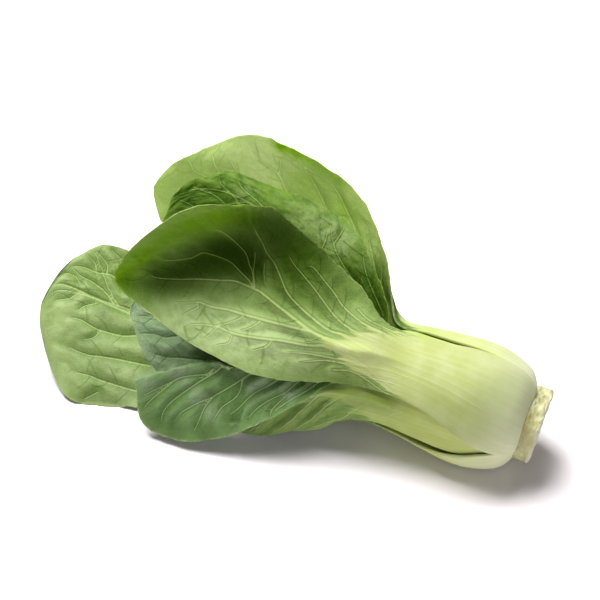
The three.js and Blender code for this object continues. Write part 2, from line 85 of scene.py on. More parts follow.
# The leaves from the outside in, with the values of the part's source.
#   turn, wrap  where the stalk is round the axis and how far it reaches each way, [s, degrees]
#   stalk, rim  its thickness in the middle and at the edge
#   foot        where it leaves the stump
#   loose       the stretch over which it leaves the bundle
#   blade       rows of points of the blade, [s, q, w], from the neck to the tip
#   ruffle      height, waves along each edge and phase
LEAVES = [
  {
    "name": "front_leaf",
    "turn": [[0, 82], [16, 80], [52, 71], [80, 72]],
    "wrap": [[0, 52], [16, 51], [30, 46], [52, 38], [72, 34], [90, 32]],
    "stalk": 8, "rim": 1.7, "foot": 7.4, "loose": [62, 92],
    "blade": [
      [[80, 23, 17], [80, 17, 23], [80, 8, 26], [80, -1, 25], [80, -9, 20]],
      [[91, 29, 18], [93, 18, 24], [95, 6, 26], [95, -3, 25], [94, -11, 22]],
      [[104, 37, 19], [107, 22, 24], [111, 6, 26], [112, -6, 25], [112, -17, 22]],
      [[117, 43, 21], [122, 27, 23], [127, 10, 22], [131, -5, 22], [135, -20, 20]],
      [[129, 48, 23], [134, 32, 19], [139, 15, 16], [149, -2, 16], [160, -18, 19]],
      [[140, 52, 27], [143, 38, 18], [148, 21, 9], [166, 4, 10], [184, -12, 19]],
      [[148, 55, 32], [150, 45, 24], [154, 30, 11], [180, 14, 12], [206, -2, 24]],
      [[157, 53, 35], [160, 48, 33], [166, 40, 25], [187, 27, 25], [203, 12, 34]],
      [[167, 50, 36], [172, 48, 37], [178, 45, 38], [187, 39, 39], [194, 31, 39]],
    ],
    "ruffle": [1.0, 2.5, 0.3],
  },
  {
    "name": "under_leaf",
    "turn": [[0, 222], [90, 222]],
    "wrap": [[0, 95], [16, 86], [30, 72], [46, 60], [60, 52], [90, 44]],
    "stalk": 8, "rim": 1.7, "foot": 7.4, "loose": [36, 80],
    "blade": [
      [[64, -25, 2], [64, -24, -8], [64, -17, -17], [64, -9, -23], [64, 1, -25]],
      [[90, -28, -4], [90, -27, -14], [90, -20, -23], [89, -13, -30], [88, -6, -36]],
      [[116, -38, -10], [117, -33, -20], [118, -22, -28], [116, -15, -37], [114, -11, -46]],
      [[142, -47, -13], [144, -37, -23], [145, -22, -32], [144, -16, -44], [142, -14, -57]],
      [[168, -56, -14], [170, -40, -23], [172, -20, -33], [172, -12, -43], [172, -8, -53]],
      [[190, -61, -13], [194, -42, -21], [198, -18, -31], [199, -6, -38], [200, 2, -45]],
      [[211, -67, -12], [219, -43, -18], [224, -18, -26], [226, -4, -32], [227, 8, -36]],
      [[229, -60, -17], [236, -41, -19], [241, -20, -22], [241, -11, -26], [240, -2, -30]],
      [[245, -44, -20], [246, -37, -20], [247, -29, -21], [247, -22, -22], [246, -15, -24]],
    ],
    "ruffle": [1.6, 3.5, 0.1],
  },
  {
    "name": "back_leaf",
    "turn": [[0, 333], [90, 333]],
    "wrap": [[0, 62], [16, 57], [30, 50], [50, 43], [70, 38], [90, 34]],
    "stalk": 8, "rim": 1.7, "foot": 7.4, "loose": [55, 85],
    "blade": [
      [[76, 10, -20], [76, 17, -16], [76, 21, -11], [76, 23, -4], [76, 22, 3]],
      [[90, 12, -23], [89, 21, -20], [88, 28, -15], [87, 33, -9], [86, 34, -4]],
      [[108, 16, -27], [105, 26, -27], [102, 36, -21], [98, 46, -14], [96, 53, -9]],
      [[130, 19, -31], [125, 31, -33], [120, 44, -27], [116, 58, -20], [114, 69, -12]],
      [[152, 22, -34], [146, 36, -36], [140, 51, -32], [138, 68, -24], [138, 81, -14]],
      [[175, 24, -35], [168, 39, -37], [162, 54, -33], [163, 70, -25], [164, 83, -15]],
      [[192, 29, -33], [188, 40, -34], [184, 53, -30], [185, 66, -24], [185, 78, -15]],
      [[204, 27, -25], [204, 36, -25], [204, 45, -22], [203, 54, -20], [202, 62, -16]],
      [[212, 36, -21], [213, 40, -20], [213, 43, -20], [213, 46, -19], [212, 49, -18]],
    ],
    "ruffle": [1.4, 3, 0.6],
  },
  {
    "name": "side_leaf",
    "turn": [[0, 117], [40, 119], [60, 122], [90, 122]],
    "wrap": [[0, 50], [16, 44], [30, 37], [46, 38], [70, 40], [90, 38]],
    "stalk": 7, "rim": 1.5, "foot": 8.4, "loose": [58, 84],
    "blade": [
      [[74, 1, 17], [74, -5, 18], [74, -12, 18], [74, -19, 13], [74, -24, 7]],
      [[89, -4, 19], [88, -8, 19], [88, -14, 17], [87, -21, 13], [87, -28, 7]],
      [[99, -15, 19], [99, -8, 18], [98, -17, 13], [98, -27, 8], [98, -37, 3]],
      [[111, -30, 17], [111, -12, 17], [110, -24, 9], [110, -33, 4], [110, -43, 1]],
      [[124, -44, 13], [124, -14, 15], [122, -28, 6], [121, -38, 2], [120, -48, -1]],
      [[139, -56, 9], [138, -19, 13], [135, -32, 3], [134, -42, -1], [133, -52, -4]],
      [[157, -64, 4], [152, -23, 12], [149, -37, 2], [147, -46, -2], [146, -54, -5]],
      [[177, -63, 3], [169, -33, 9], [166, -42, 2], [163, -49, -1], [160, -55, -4]],
      [[188, -53, 5], [188, -46, 6], [184, -47, 4], [179, -51, 1], [175, -55, -1]],
    ],
    "ruffle": [0.8, 3, 0.2],
  },
  {
    "name": "far_leaf",
    "turn": [[0, 264], [90, 267]],
    "wrap": [[0, 50], [30, 44], [90, 40]],
    "stalk": 6, "rim": 1.5, "foot": 9.2, "loose": [60, 90],
    "blade": [
      [[78, -12, -15], [78, -6, -18], [78, 1, -19], [78, 8, -17], [78, 13, -13]],
      [[98, -20, -18], [98, -10, -21], [98, 2, -23], [98, 12, -21], [98, 20, -17]],
      [[120, -25, -19], [120, -13, -24], [120, 3, -27], [120, 16, -24], [120, 27, -18]],
      [[145, -26, -19], [145, -12, -26], [145, 5, -30], [145, 19, -25], [145, 31, -19]],
      [[167, -21, -20], [168, -9, -26], [169, 6, -30], [169, 18, -26], [168, 28, -20]],
      [[184, -9, -23], [186, -2, -26], [187, 6, -28], [187, 13, -26], [186, 20, -23]],
      [[195, 4, -26], [195, 5, -26], [196, 7, -27], [196, 8, -26], [195, 10, -26]],
    ],
    "ruffle": [1.2, 3, 0.4],
  },
  {
    "name": "second_front_leaf",
    "turn": [[0, 49], [90, 46]],
    "wrap": [[0, 60], [20, 56], [50, 50], [90, 42]],
    "stalk": 5.5, "rim": 1.4, "foot": 10, "loose": [66, 92],
    "blade": [
      [[80, 15, 3], [80, 13, 8], [80, 10, 11], [80, 7, 12], [80, 2, 13]],
      [[94, 24, 8], [95, 19, 13], [96, 13, 17], [96, 7, 17], [96, 1, 16]],
      [[112, 32, 9], [113, 24, 13], [115, 15, 15], [116, 5, 15], [116, -4, 13]],
      [[132, 37, 8], [133, 28, 10], [135, 17, 10], [137, 5, 9], [138, -6, 8]],
      [[152, 38, 3], [153, 29, 3], [155, 18, 2], [157, 6, 2], [158, -5, 2]],
      [[169, 33, 1], [171, 26, 1], [172, 17, 1], [173, 8, 1], [174, -1, 1]],
      [[183, 21, 1], [184, 19, 1], [185, 16, 1], [185, 13, 1], [185, 10, 1]],
    ],
    "ruffle": [0.8, 3, 0.5],
  },
  {
    "name": "low_leaf",
    "turn": [[0, 195], [90, 200]],
    "wrap": [[0, 64], [20, 60], [50, 54], [90, 46]],
    "stalk": 5, "rim": 1.3, "foot": 11, "loose": [66, 92],
    "blade": [
      [[78, -12, 6], [78, -13, 0], [78, -12, -5], [78, -8, -9], [78, -3, -12]],
      [[92, -22, 1], [92, -19, -4], [92, -14, -8], [91, -8, -11], [90, -1, -13]],
      [[112, -33, -4], [112, -25, -8], [112, -15, -11], [110, -4, -12], [108, 6, -13]],
      [[136, -40, -8], [135, -28, -11], [134, -15, -12], [132, -1, -12], [130, 10, -12]],
      [[160, -42, -8], [159, -29, -10], [158, -15, -10], [157, -1, -9], [156, 12, -9]],
      [[176, -40, -6], [178, -27, -6], [180, -14, -6], [179, -2, -5], [178, 9, -5]],
      [[188, -32, -4], [192, -23, -3], [194, -14, -3], [195, -6, -3], [194, 2, -3]],
      [[200, -18, -2], [201, -15, -2], [201, -13, -1], [201, -11, -1], [200, -8, -2]],
    ],
    "ruffle": [1.0, 3, 0.7],
  },
  {
    "name": "second_back_leaf",
    "turn": [[0, 305], [90, 312]],
    "wrap": [[0, 66], [20, 62], [50, 56], [90, 46]],
    "stalk": 4.5, "rim": 1.2, "foot": 12, "loose": [60, 88],
    "blade": [
      [[76, 2, -13], [76, 7, -10], [76, 11, -7], [76, 13, -3], [76, 14, 0]],
      [[92, 3, -12], [90, 12, -9], [88, 19, -6], [86, 24, -2], [85, 28, 2]],
      [[110, 6, -10], [107, 18, -8], [104, 29, -5], [100, 36, -3], [97, 43, -2]],
      [[132, 10, -9], [127, 25, -7], [122, 39, -4], [118, 49, -4], [115, 58, -6]],
      [[156, 15, -8], [148, 31, -6], [140, 47, -3], [138, 56, -5], [138, 62, -9]],
      [[177, 21, -7], [167, 37, -5], [158, 51, -3], [159, 58, -5], [161, 63, -8]],
      [[194, 25, -6], [184, 40, -4], [175, 53, -3], [177, 58, -4], [179, 62, -6]],
      [[200, 28, -5], [195, 40, -3], [189, 50, -3], [189, 54, -3], [188, 56, -4]],
      [[200, 35, -4], [200, 39, -3], [199, 43, -3], [197, 46, -3], [195, 49, -4]],
    ],
    "ruffle": [1.2, 3.5, 0.0],
  },
  {
    "name": "heart_leaf_1",
    "turn": [[0, 100], [90, 104]],
    "wrap": [[0, 46], [90, 42]],
    "stalk": 3.4, "rim": 1.1, "foot": 15, "loose": [60, 85],
    "blade": [
      [[76, 3, 9], [76, -1, 9], [76, -5, 8], [76, -7, 5], [76, -8, 1]],
      [[95, 5, 10], [95, -1, 11], [95, -6, 9], [95, -9, 6], [95, -11, 1]],
      [[115, 8, 8], [115, 1, 9], [115, -6, 8], [115, -11, 5], [115, -14, 0]],
      [[132, 8, 4], [132, 1, 5], [132, -5, 4], [132, -10, 2], [132, -13, -1]],
      [[145, 0, 1], [145, -1, 1], [145, -3, 1], [145, -5, 0], [145, -6, 0]],
    ],
    "ruffle": [0.6, 3, 0.0],
  },
  {
    "name": "heart_leaf_2",
    "turn": [[0, 226], [90, 230]],
    "wrap": [[0, 46], [90, 42]],
    "stalk": 2.8, "rim": 1, "foot": 17, "loose": [54, 78],
    "blade": [
      [[70, -7, -1], [70, -5, -5], [70, -2, -7], [70, 2, -7], [70, 5, -5]],
      [[88, -8, -2], [88, -6, -5], [88, -2, -7], [88, 3, -7], [88, 7, -5]],
      [[104, -9, -2], [104, -6, -5], [104, -1, -7], [104, 5, -6], [104, 10, -3]],
      [[118, -7, -1], [118, -4, -4], [118, 1, -5], [118, 6, -4], [118, 10, -2]],
      [[128, -1, -3], [128, 0, -3], [128, 2, -3], [128, 4, -3], [128, 5, -3]],
    ],
    "ruffle": [0.5, 3, 0.5],
  },
  {
    "name": "heart_leaf_3",
    "turn": [[0, 350], [90, 355]],
    "wrap": [[0, 48], [90, 44]],
    "stalk": 2.4, "rim": 1, "foot": 19, "loose": [50, 70],
    "blade": [
      [[62, 3, -2], [62, 5, -1], [62, 5, 1], [62, 5, 3], [62, 3, 5]],
      [[76, 4, -2], [76, 6, -1], [76, 7, 1], [76, 7, 4], [76, 5, 6]],
      [[90, 5, -2], [90, 7, 0], [90, 8, 2], [90, 8, 4], [90, 6, 7]],
      [[102, 6, 0], [102, 8, 1], [102, 9, 3], [102, 9, 4], [102, 8, 6]],
      [[110, 8, 2], [110, 9, 2], [110, 9, 3], [110, 9, 3], [110, 9, 4]],
    ],
    "ruffle": [0.4, 3, 0.2],
  },
]


# Numbers and curves

def smooth(low, high, x):
    x = np.clip((np.asarray(x, float) - low) / (high - low), 0, 1)
    return x * x * (3 - 2 * x)


def spline_weights(count, t):
    """Which four of count points shape a smooth curve at t, and how much each counts."""
    start = np.clip(np.floor(t), 0, count - 2).astype(int)
    x = t - start
    near = np.stack([np.maximum(start - 1, 0), start, start + 1, np.minimum(start + 2, count - 1)])
    pull = 0.5 * np.stack([
        -x + 2 * x**2 - x**3,
        2 - 5 * x**2 + 3 * x**3,
        x + 4 * x**2 - 3 * x**3,
        x**3 - x**2,
    ])
    return near, pull


def at(table, s):
    """The value at s of a table of [s, value], eased between its rows."""
    table = np.array(table, float)
    near, pull = spline_weights(len(table), np.interp(s, table[:, 0], np.arange(len(table))))
    return (pull * table[near, 1]).sum(0)


def through_points(points, spacing):
    """A smooth line through points, with a point at about every spacing."""
    points = np.array(points, float)
    length = np.linalg.norm(np.diff(points, axis=0), axis=1).sum()
    t = np.linspace(0, len(points) - 1, max(int(length / spacing), 2) + 1)
    near, pull = spline_weights(len(points), t)
    return (pull[:, :, None] * points[near]).sum(0)


def soft_noise(x, y, size, seed):
    """Even, rounded bumps of about this size, from -1 to 1."""
    heights = np.random.default_rng(seed).uniform(-1, 1, (NOISE_CELLS, NOISE_CELLS))
    x, y = x / size + NOISE_START[0], y / size + NOISE_START[1]
    column, row = np.floor(x).astype(int), np.floor(y).astype(int)
    across, up = smooth(0, 1, x - column), smooth(0, 1, y - row)

    def level(row):
        left = heights[row % NOISE_CELLS, column % NOISE_CELLS]
        right = heights[row % NOISE_CELLS, (column + 1) % NOISE_CELLS]
        return left * (1 - across) + right * across

    return level(row) * (1 - up) + level(row + 1) * up


def fold_noise(x, y, size, seed):
    """Bumps of two sizes that wander, as in a blistered leaf."""
    x = x + size * 0.5 * soft_noise(x, y, size * 2, seed + 1)
    y = y + size * 0.5 * soft_noise(x, y, size * 2, seed + 2)
    return 0.7 * soft_noise(x, y, size, seed) + 0.3 * soft_noise(x, y, size * 0.45, seed + 3)


# The leaf's middle surface, as in the solids

def place(points):
    return CUT_FACE + points[..., :1] * AXIS + points[..., 1:2] * ACROSS + points[..., 2:3] * OUTWARD


def in_head(points):
    """Points of the table's frame as [s, q, w]."""
    return (points - CUT_FACE) @ np.stack([AXIS, ACROSS, OUTWARD], axis=1)


def room(leaf, s, angle):
    """How much of the head's radius a stalk takes at s and at an angle round the axis."""
    wrap = at(leaf["wrap"], s)
    off = np.abs((angle - at(leaf["turn"], s) + 180) % 360 - 180)
    grown = 0.3 + 0.7 * smooth(0, 18, s - leaf["foot"])
    rim = leaf["rim"] * (0.6 + 0.4 * smooth(0, 8, s - leaf["foot"]))
    past = np.maximum(0, off - wrap - RIM_REACH)
    flesh = leaf["stalk"] * grown * np.maximum(0, 1 - (off / wrap) ** 2) ** 1.4
    return flesh + (rim + GAP) * np.exp(-((past / RIM_REACH) ** 2))


def bundled(leaf, s, v):
    """A stalk's middle surface inside the leaves round it."""
    angle = at(leaf["turn"], s) + v * at(leaf["wrap"], s)
    radius = at(HEAD_RADIUS, s)
    for outer in LEAVES[: LEAVES.index(leaf)]:
        radius = radius - room(outer, s, angle)
    radius = radius - room(leaf, s, angle) / 2
    turned = np.radians(angle)
    return np.stack([s, radius * np.cos(turned), radius * np.sin(turned)], axis=-1)


def rows_of(leaf):
    neck = leaf["blade"][0][2][0]
    sides = np.array(ACROSS_LEAF, float)
    stalk = [
        bundled(leaf, np.full(5, leaf["foot"] + (neck - leaf["foot"]) * share), sides)
        for share in UP_STALK
    ]
    return np.concatenate([stalk, np.array(leaf["blade"], float)])


def tip_width(last, t):
    x = np.maximum(0, (t - (last - ROUND_TIP)) / ROUND_TIP)
    return np.maximum(np.sqrt(np.maximum(0, 1 - x * x)), 0.06)


def surface(leaf, rows, t, v):
    last = len(rows) - 1
    up, up_pull = spline_weights(len(rows), t)
    side, side_pull = spline_weights(5, (v * tip_width(last, t) + 1) * 2)
    free = sum(
        (up_pull[a] * side_pull[b])[..., None] * rows[up[a], side[b]]
        for a in range(4)
        for b in range(4)
    )
    s = free[..., 0]
    loose = smooth(*leaf["loose"], s)[..., None]
    return place(free) * loose + place(bundled(leaf, s, v)) * (1 - loose)


def measured(points, axis):
    """How far along each row or column of points has gone."""
    steps = np.linalg.norm(np.diff(points, axis=axis), axis=2)
    gone = np.cumsum(steps, axis=axis)
    start = np.zeros_like(np.take(points[..., 0], [0], axis=axis))
    return np.concatenate([start, gone], axis=axis)


def unit(vectors):
    return vectors / np.linalg.norm(vectors, axis=2, keepdims=True)


def even_rows(leaf, rows, up):
    """Where the rows of points lie up the leaf: evenly, and twice as far apart on the stalk."""
    fine = np.linspace(0, len(rows) - 1, 500)
    middle = surface(leaf, rows, fine, np.zeros(500))
    neck = leaf["blade"][0][2][0]
    wanted = np.where(in_head(middle)[:, 0] < neck - 12, 0.5, 1.0)
    steps = np.linalg.norm(np.diff(middle, axis=0), axis=1) * wanted[1:]
    share = np.concatenate([[0], np.cumsum(steps)])
    return np.interp(np.linspace(0, share[-1], up + 1), share, fine)


def margin_swing(leaf, last, t, v, y, s, edge, flutter):
    """How far the margin swings out of the leaf's surface, in broad waves and a fine flutter."""
    height, waves, phase = leaf["ruffle"]
    free = smooth(leaf["loose"][0] + 10, leaf["loose"][1] + 30, s) * tip_width(last, t)
    turns = waves * (t / last) * 2 + phase + np.where(v > 0, 0.4, 0)
    broad = height * free * np.abs(v) ** 3 * np.sin(2 * np.pi * turns)
    side = np.where(v > 0, OTHER_MARGIN, 0)
    return broad + flutter * edge * (soft_noise(side, y, 7, 5) + 0.4 * soft_noise(side, y, 3.1, 6))


def margin_notches(leaf, v, y, s):
    """How far the margin runs out past its smooth outline, or in behind it."""
    side = np.where(v > 0, OTHER_MARGIN, 0)
    notch = 0.5 * soft_noise(side, y, 4.3, 8) + 0.35 * soft_noise(side, y, 1.9, 9)
    return notch * smooth(0.8, 1, np.abs(v)) * smooth(*leaf["loose"], s) * np.sign(v)


def leaf_sheet(leaf, up, across, flutter):
    """The leaf's middle surface as rows and columns of points, with what each point is like.
    x is how far a point is across the leaf from its midrib, and y how far up it."""
    rows = rows_of(leaf)
    last = len(rows) - 1
    t, v = np.meshgrid(even_rows(leaf, rows, up), np.linspace(-1, 1, across + 1), indexing="ij")
    points = surface(leaf, rows, t, v)
    forth = surface(leaf, rows, np.minimum(t + STEP, last), v)
    back = surface(leaf, rows, np.maximum(t - STEP, 0), v)
    right = surface(leaf, rows, t, np.minimum(v + STEP, 1))
    left = surface(leaf, rows, t, np.maximum(v - STEP, -1))
    looks = unit(np.cross(right - left, forth - back))

    s = in_head(points)[..., 0]
    middle = slice(across // 2, across // 2 + 1)
    y = np.repeat(measured(points, 0)[:, middle], across + 1, axis=1)
    edge = smooth(0.62, 1, np.abs(v)) * smooth(leaf["loose"][1] - 5, leaf["loose"][1] + 15, s)
    points = points + looks * margin_swing(leaf, last, t, v, y, s, edge, flutter)[..., None]
    points = points + unit(right - left) * margin_notches(leaf, v, y, s)[..., None]

    angle = np.radians(at(leaf["turn"], s) + v * at(leaf["wrap"], s))[..., None]
    inward = -ACROSS * np.cos(angle) - OUTWARD * np.sin(angle)
    loose = smooth(*leaf["loose"], s)[..., None]
    through = unit(inward * (1 - loose) + looks * loose)
    stalk = room(leaf, s, np.degrees(angle[..., 0])) - GAP
    ridge = leaf["stalk"] * MIDRIB * (1 - smooth(last * 0.45, last, t)) ** 2
    blade = BLADE * (1 - 0.4 * edge) + ridge * np.exp(-((v / MIDRIB_SPREAD) ** 2))
    thinned = smooth(leaf["loose"][0] - 5, leaf["loose"][1] + 15, s)
    x = measured(points, 1)
    return {
        "points": points, "through": through, "s": s, "v": v, "x": x - x[:, middle], "y": y,
        "thickness": stalk * (1 - thinned) + blade * thinned,
        "neck": leaf["blade"][0][2][0], "edge": edge,
    }


# Veins. Each is a line of [x, y] points on the leaf, its widths at its two ends and its height.
#   LINE_STEP       between points of a drawn line
#   SIDE_VEIN_STEP  between points of a side vein as it grows
#   RIDGE_OF_WIDTH  half-width of a ridge for the width that is given, at its start
#   RIDGE_OF_END    and at its end
LINE_STEP = 0.4
SIDE_VEIN_STEP = 2.5
RIDGE_OF_WIDTH = 0.62
RIDGE_OF_END = 0.75


def on_sheet(sheet, line):
    """Where points [x, y] of a line are, in rows and columns of the sheet."""
    row = np.interp(line[:, 1], sheet["y"][:, 0], np.arange(len(sheet["y"])))
    below = np.minimum(row.astype(int), len(sheet["y"]) - 2)
    columns = np.arange(sheet["x"].shape[1])
    low = [np.interp(x, sheet["x"][k], columns) for x, k in zip(line[:, 0], below)]
    high = [np.interp(x, sheet["x"][k + 1], columns) for x, k in zip(line[:, 0], below)]
    rest = row - below
    return row, np.array(low) * (1 - rest) + np.array(high) * rest


def along_vein(sheet, row, column, i, j):
    """Where a vein's points are in space, and the directions along it and beside it."""
    points = sheet["points"]
    a, b = (row - i)[:, None], (column - j)[:, None]
    here = (points[i, j] * (1 - a) + points[i + 1, j] * a) * (1 - b)
    here = here + (points[i, j + 1] * (1 - a) + points[i + 1, j + 1] * a) * b
    ahead = np.gradient(here, axis=0)
    ahead = ahead / np.maximum(np.linalg.norm(ahead, axis=1, keepdims=True), 1e-6)
    return here, ahead, np.cross(sheet["through"][i, j], ahead)


def rows_within(points, i, j, reach):
    """How many rows and columns of the sheet lie within this reach of each point."""
    tall = np.linalg.norm(points[i + 1, j] - points[i, j], axis=1)
    broad = np.linalg.norm(points[i, j + 1] - points[i, j], axis=1)
    tall = (reach / np.maximum(tall, 0.2)).astype(int) + 1
    broad = (reach / np.maximum(broad, 0.2)).astype(int) + 1
    return tall, broad


def lay_vein(sheet, vein, layer):
    """Draws a vein on a layer: how high it stands, how near each point is to it, and how many
    half-widths a point lies to its left or right."""
    line, wide, narrow, height = vein
    line = through_points(line, LINE_STEP)
    row, column = on_sheet(sheet, line)
    points = sheet["points"]
    last_row, last_column = points.shape[0] - 2, points.shape[1] - 2
    kept = (column > 0.5) & (column < last_column + 0.5)
    if kept.sum() < 4:
        return
    row, column = row[kept], column[kept]
    widths = np.linspace(wide, narrow, len(line))[kept]
    gone = np.linspace(0, 1, len(line))[kept]
    fade = 1 - 0.7 * gone**2
    ending = 1 - 0.6 * smooth(0.75, 1, gone)
    i, j = np.minimum(row.astype(int), last_row), np.minimum(column.astype(int), last_column)
    here, ahead, beside = along_vein(sheet, row, column, i, j)
    tall, broad = rows_within(points, i, j, np.maximum(2.2 * widths, 2.0))
    for k, width in enumerate(widths):
        rows = slice(max(i[k] - tall[k], 0), i[k] + tall[k] + 2)
        columns = slice(max(j[k] - broad[k], 0), j[k] + broad[k] + 2)
        part = (rows, columns)
        offset = points[part] - here[k]
        aside = offset @ beside[k]
        spare = np.maximum(np.abs(offset @ ahead[k]) - 0.3, 0)
        away = np.hypot(aside, spare)
        shape = np.exp(-((away / width) ** 2)) * fade[k] * height
        layer["ridge"][part] = np.maximum(layer["ridge"][part], shape)
        near = ending[k] * np.exp(-((away / (0.6 + width)) ** 2))
        layer["near"][part] = np.maximum(layer["near"][part], near)
        side = np.where(aside < 0, -1, 1) * away / width
        nearer = np.abs(side) < np.abs(layer["side"][part])
        layer["side"][part] = np.where(nearer, side, layer["side"][part])


def new_layer(sheet):
    shape = sheet["x"].shape
    return {"ridge": np.zeros(shape), "near": np.zeros(shape), "side": np.full(shape, 9.0)}


def half_width(sheet, side, y):
    reach = sheet["x"][:, -1] if side > 0 else -sheet["x"][:, 0]
    return np.interp(y, sheet["y"][:, 0], reach)


def grow_side_vein(sheet, look, side, root, lean, chance):
    """A line from the midrib out, until it is near the margin or the tip."""
    x, y, line = 0.0, root, [[0.0, root]]
    for step in range(60):
        share = abs(x) / max(half_width(sheet, side, y), 1)
        turn = lean + look["arch"] * math.sin(min(share, 1) * math.pi) - 0.5 * share**3
        x += side * SIDE_VEIN_STEP * math.sin(turn)
        y += SIDE_VEIN_STEP * math.cos(turn)
        if share > 0.93 or y > sheet["y"][-1, 0] - 2:
            break
        line.append([x + 0.5 * side * chance.uniform(-1, 1), y])
    return line


def side_veins(sheet, look, chance):
    """The veins that leave the midrib, run up and out, and bend forwards near the margin."""
    start = np.interp(sheet["neck"], sheet["s"][:, sheet["s"].shape[1] // 2], sheet["y"][:, 0])
    end = sheet["y"][-1, 0]
    count = look["side_veins"]
    first, last = look["lean"]
    veins = []
    for side in (-1, 1):
        for k in range(count):
            root = start - 14 + (end - start - 6) * (k + chance.uniform(-0.12, 0.12)) / count
            lean = math.radians(first + (last - first) * k / count)
            line = grow_side_vein(sheet, look, side, root, lean, chance)
            if len(line) > 3:
                wide = look["vein_width"] * (1 - 0.4 * k / count)
                veins.append((line, wide, 0.32, look["vein_height"] * (1 - 0.35 * k / count)))
    return veins


def grow_branch(line, k, flip, others, look, chance):
    """A small vein that leaves a line at its point k, on one side, and bends forwards. It ends
    where it comes close to another line."""
    along = line[k + 1] - line[k - 1]
    heading = math.atan2(along[1], along[0]) + flip * math.radians(chance.uniform(45, 65))
    bend = -flip * chance.uniform(0.01, 0.075)
    drift = chance.uniform(-0.012, 0.012)
    long = look["small_length"] * chance.uniform(0.5, 1.3)
    point, branch = line[k].copy(), [line[k].copy()]
    for step in range(int(long)):
        heading += bend + drift * step
        point = point + [math.cos(heading), math.sin(heading)]
        branch.append(point.copy())
        if step > 3 and np.abs(others - point).sum(1).min() < 1.6:
            break
    return branch


def small_veins(sheet, main, look, chance):
    """Short veins that branch off the main ones, now on one side and now on the other."""
    lines = [through_points(line, 1.0) for line, *rest in main]
    veins = []
    for own, line in enumerate(lines):
        others = [other for k, other in enumerate(lines) if k != own]
        others = np.concatenate(others) if others else np.full((1, 2), 1e6)
        gone, flip = chance.uniform(4, 8), chance.choice([-1, 1])
        while gone < len(line) - 3:
            branch = grow_branch(line, int(gone), flip, others, look, chance)
            if len(branch) > 6:
                thin = look["small_width"] * chance.uniform(0.75, 1.1)
                tall = look["small_height"] * chance.uniform(0.6, 1)
                veins.append((branch, thin, thin * 0.5, tall))
            flip = -flip
            gone += chance.uniform(*look["small_gap"])
    return veins


def placed_veins(sheet, look):
    """Veins given by points [s, q, w] of the head's frame, each moved onto the nearest point."""
    spots = in_head(sheet["points"]).reshape(-1, 3)
    x, y = sheet["x"].ravel(), sheet["y"].ravel()
    veins = []
    for wide, narrow, points in look["placed"]:
        near = [int(np.argmin(((spots - p) ** 2).sum(1))) for p in np.array(points, float)]
        line = [[x[n], y[n]] for n in near]
        height = look["vein_height"] * min(1.1, wide)
        veins.append((line, wide * RIDGE_OF_WIDTH, narrow * RIDGE_OF_END, height))
    return veins


# vein, small_vein      colour of the large and small veins; a small_vein darker than the blade is painted shade in its groove
# What each leaf's two faces look like. Colours are red, green and blue, 0 to 255, and sizes are
# in millimetres.
#   seed                  start of the leaf's own chance
#   grid                  faces up and across each face of it
#   pale_to               how far up the pale tissue reaches, at the midrib and at the margins
#   ribs, rib_height      the ribs of the stalk: how many on each half, and how high
#   placed                veins where the photo shows them, [width, end width, points [s, q, w]].
#                         The points were picked by eye in the photo, and a scratch script put
#                         them on the part's solids and printed them in whole millimetres.
#   midrib                width of the midrib, 0 where placed veins take its place
#   grown                 halves with side veins in the general pattern, -1 left and 1 right
#   side_veins            how many side veins a half has
#   lean, arch            how they leave the midrib, first and last, in degrees, and how they bend
#   vein_..., small_...   width, height, length and spacing of the side veins and small veins
#   swell, quilt          width of the swell along a large vein, and sag of the blade between
#   pucker                height and size of the blisters
#   flutter               height of the margin's finest waves
#   net                   size of the meshes of the finest veins
#   deep, painted_backlight  patches of painted shade, and patches of painted backlight where a rim in
#   shade
#                         lets light through, darker and more saturated green, [s, q, w, radius,
#                         strength]
#   light                 patches of painted highlight and sheen. Most places of the three were found
#                         like the veins, and radius and strength were chosen.
#   vein_show             how clearly the veins are coloured
#   thin                  share of the light that a blade lets through
#   rough                 roughness of the outer and of the inner face
#   wax, shine            strength of the waxy coat and of the skin's own reflections
#   outer, inner          colour of each face of the blade, and its darker green, for random darker patches,
#                         the grooves of the neck, and painted shade in its hollows and beside the veins
#   foot, stalk, neck     colours up the stalk, and streak for the lines in it
#   glow, painted_highlight  colour of the light let through, and of the painted highlights and sheen
COMMON = {
    "seed": 1, "grid": (150, 110),
    "pale_to": (104, 70), "ribs": 5, "rib_height": 0.14,
    "placed": [], "grown": [-1, 1], "midrib": 1.5, "side_veins": 8, "lean": (32, 44), "arch": 0.25,
    "vein_width": 0.66, "vein_height": 0.6,
    "small_length": 10, "small_width": 0.3, "small_height": 0.25, "small_gap": (4, 8),
    "swell": 3.2, "quilt": 0.8, "pucker": (0.4, 6), "flutter": 0.6, "net": 2.6,
    "deep": [], "painted_backlight": [], "light": [],
    "vein_show": 0.8, "thin": 0.32, "rough": (0.46, 0.38), "wax": 0.08, "shine": 0.35,
    "outer": (149, 177, 92), "outer_deep": (115, 152, 59),
    "inner": (133, 173, 68), "inner_deep": (94, 142, 38),
    "vein": (198, 222, 131), "small_vein": (175, 205, 109),
    "foot": (206, 210, 178), "stalk": (182, 190, 118), "neck": (151, 174, 73),
    "streak": (158, 179, 88), "glow": (130, 156, 50), "painted_highlight": (140, 158, 112),
}
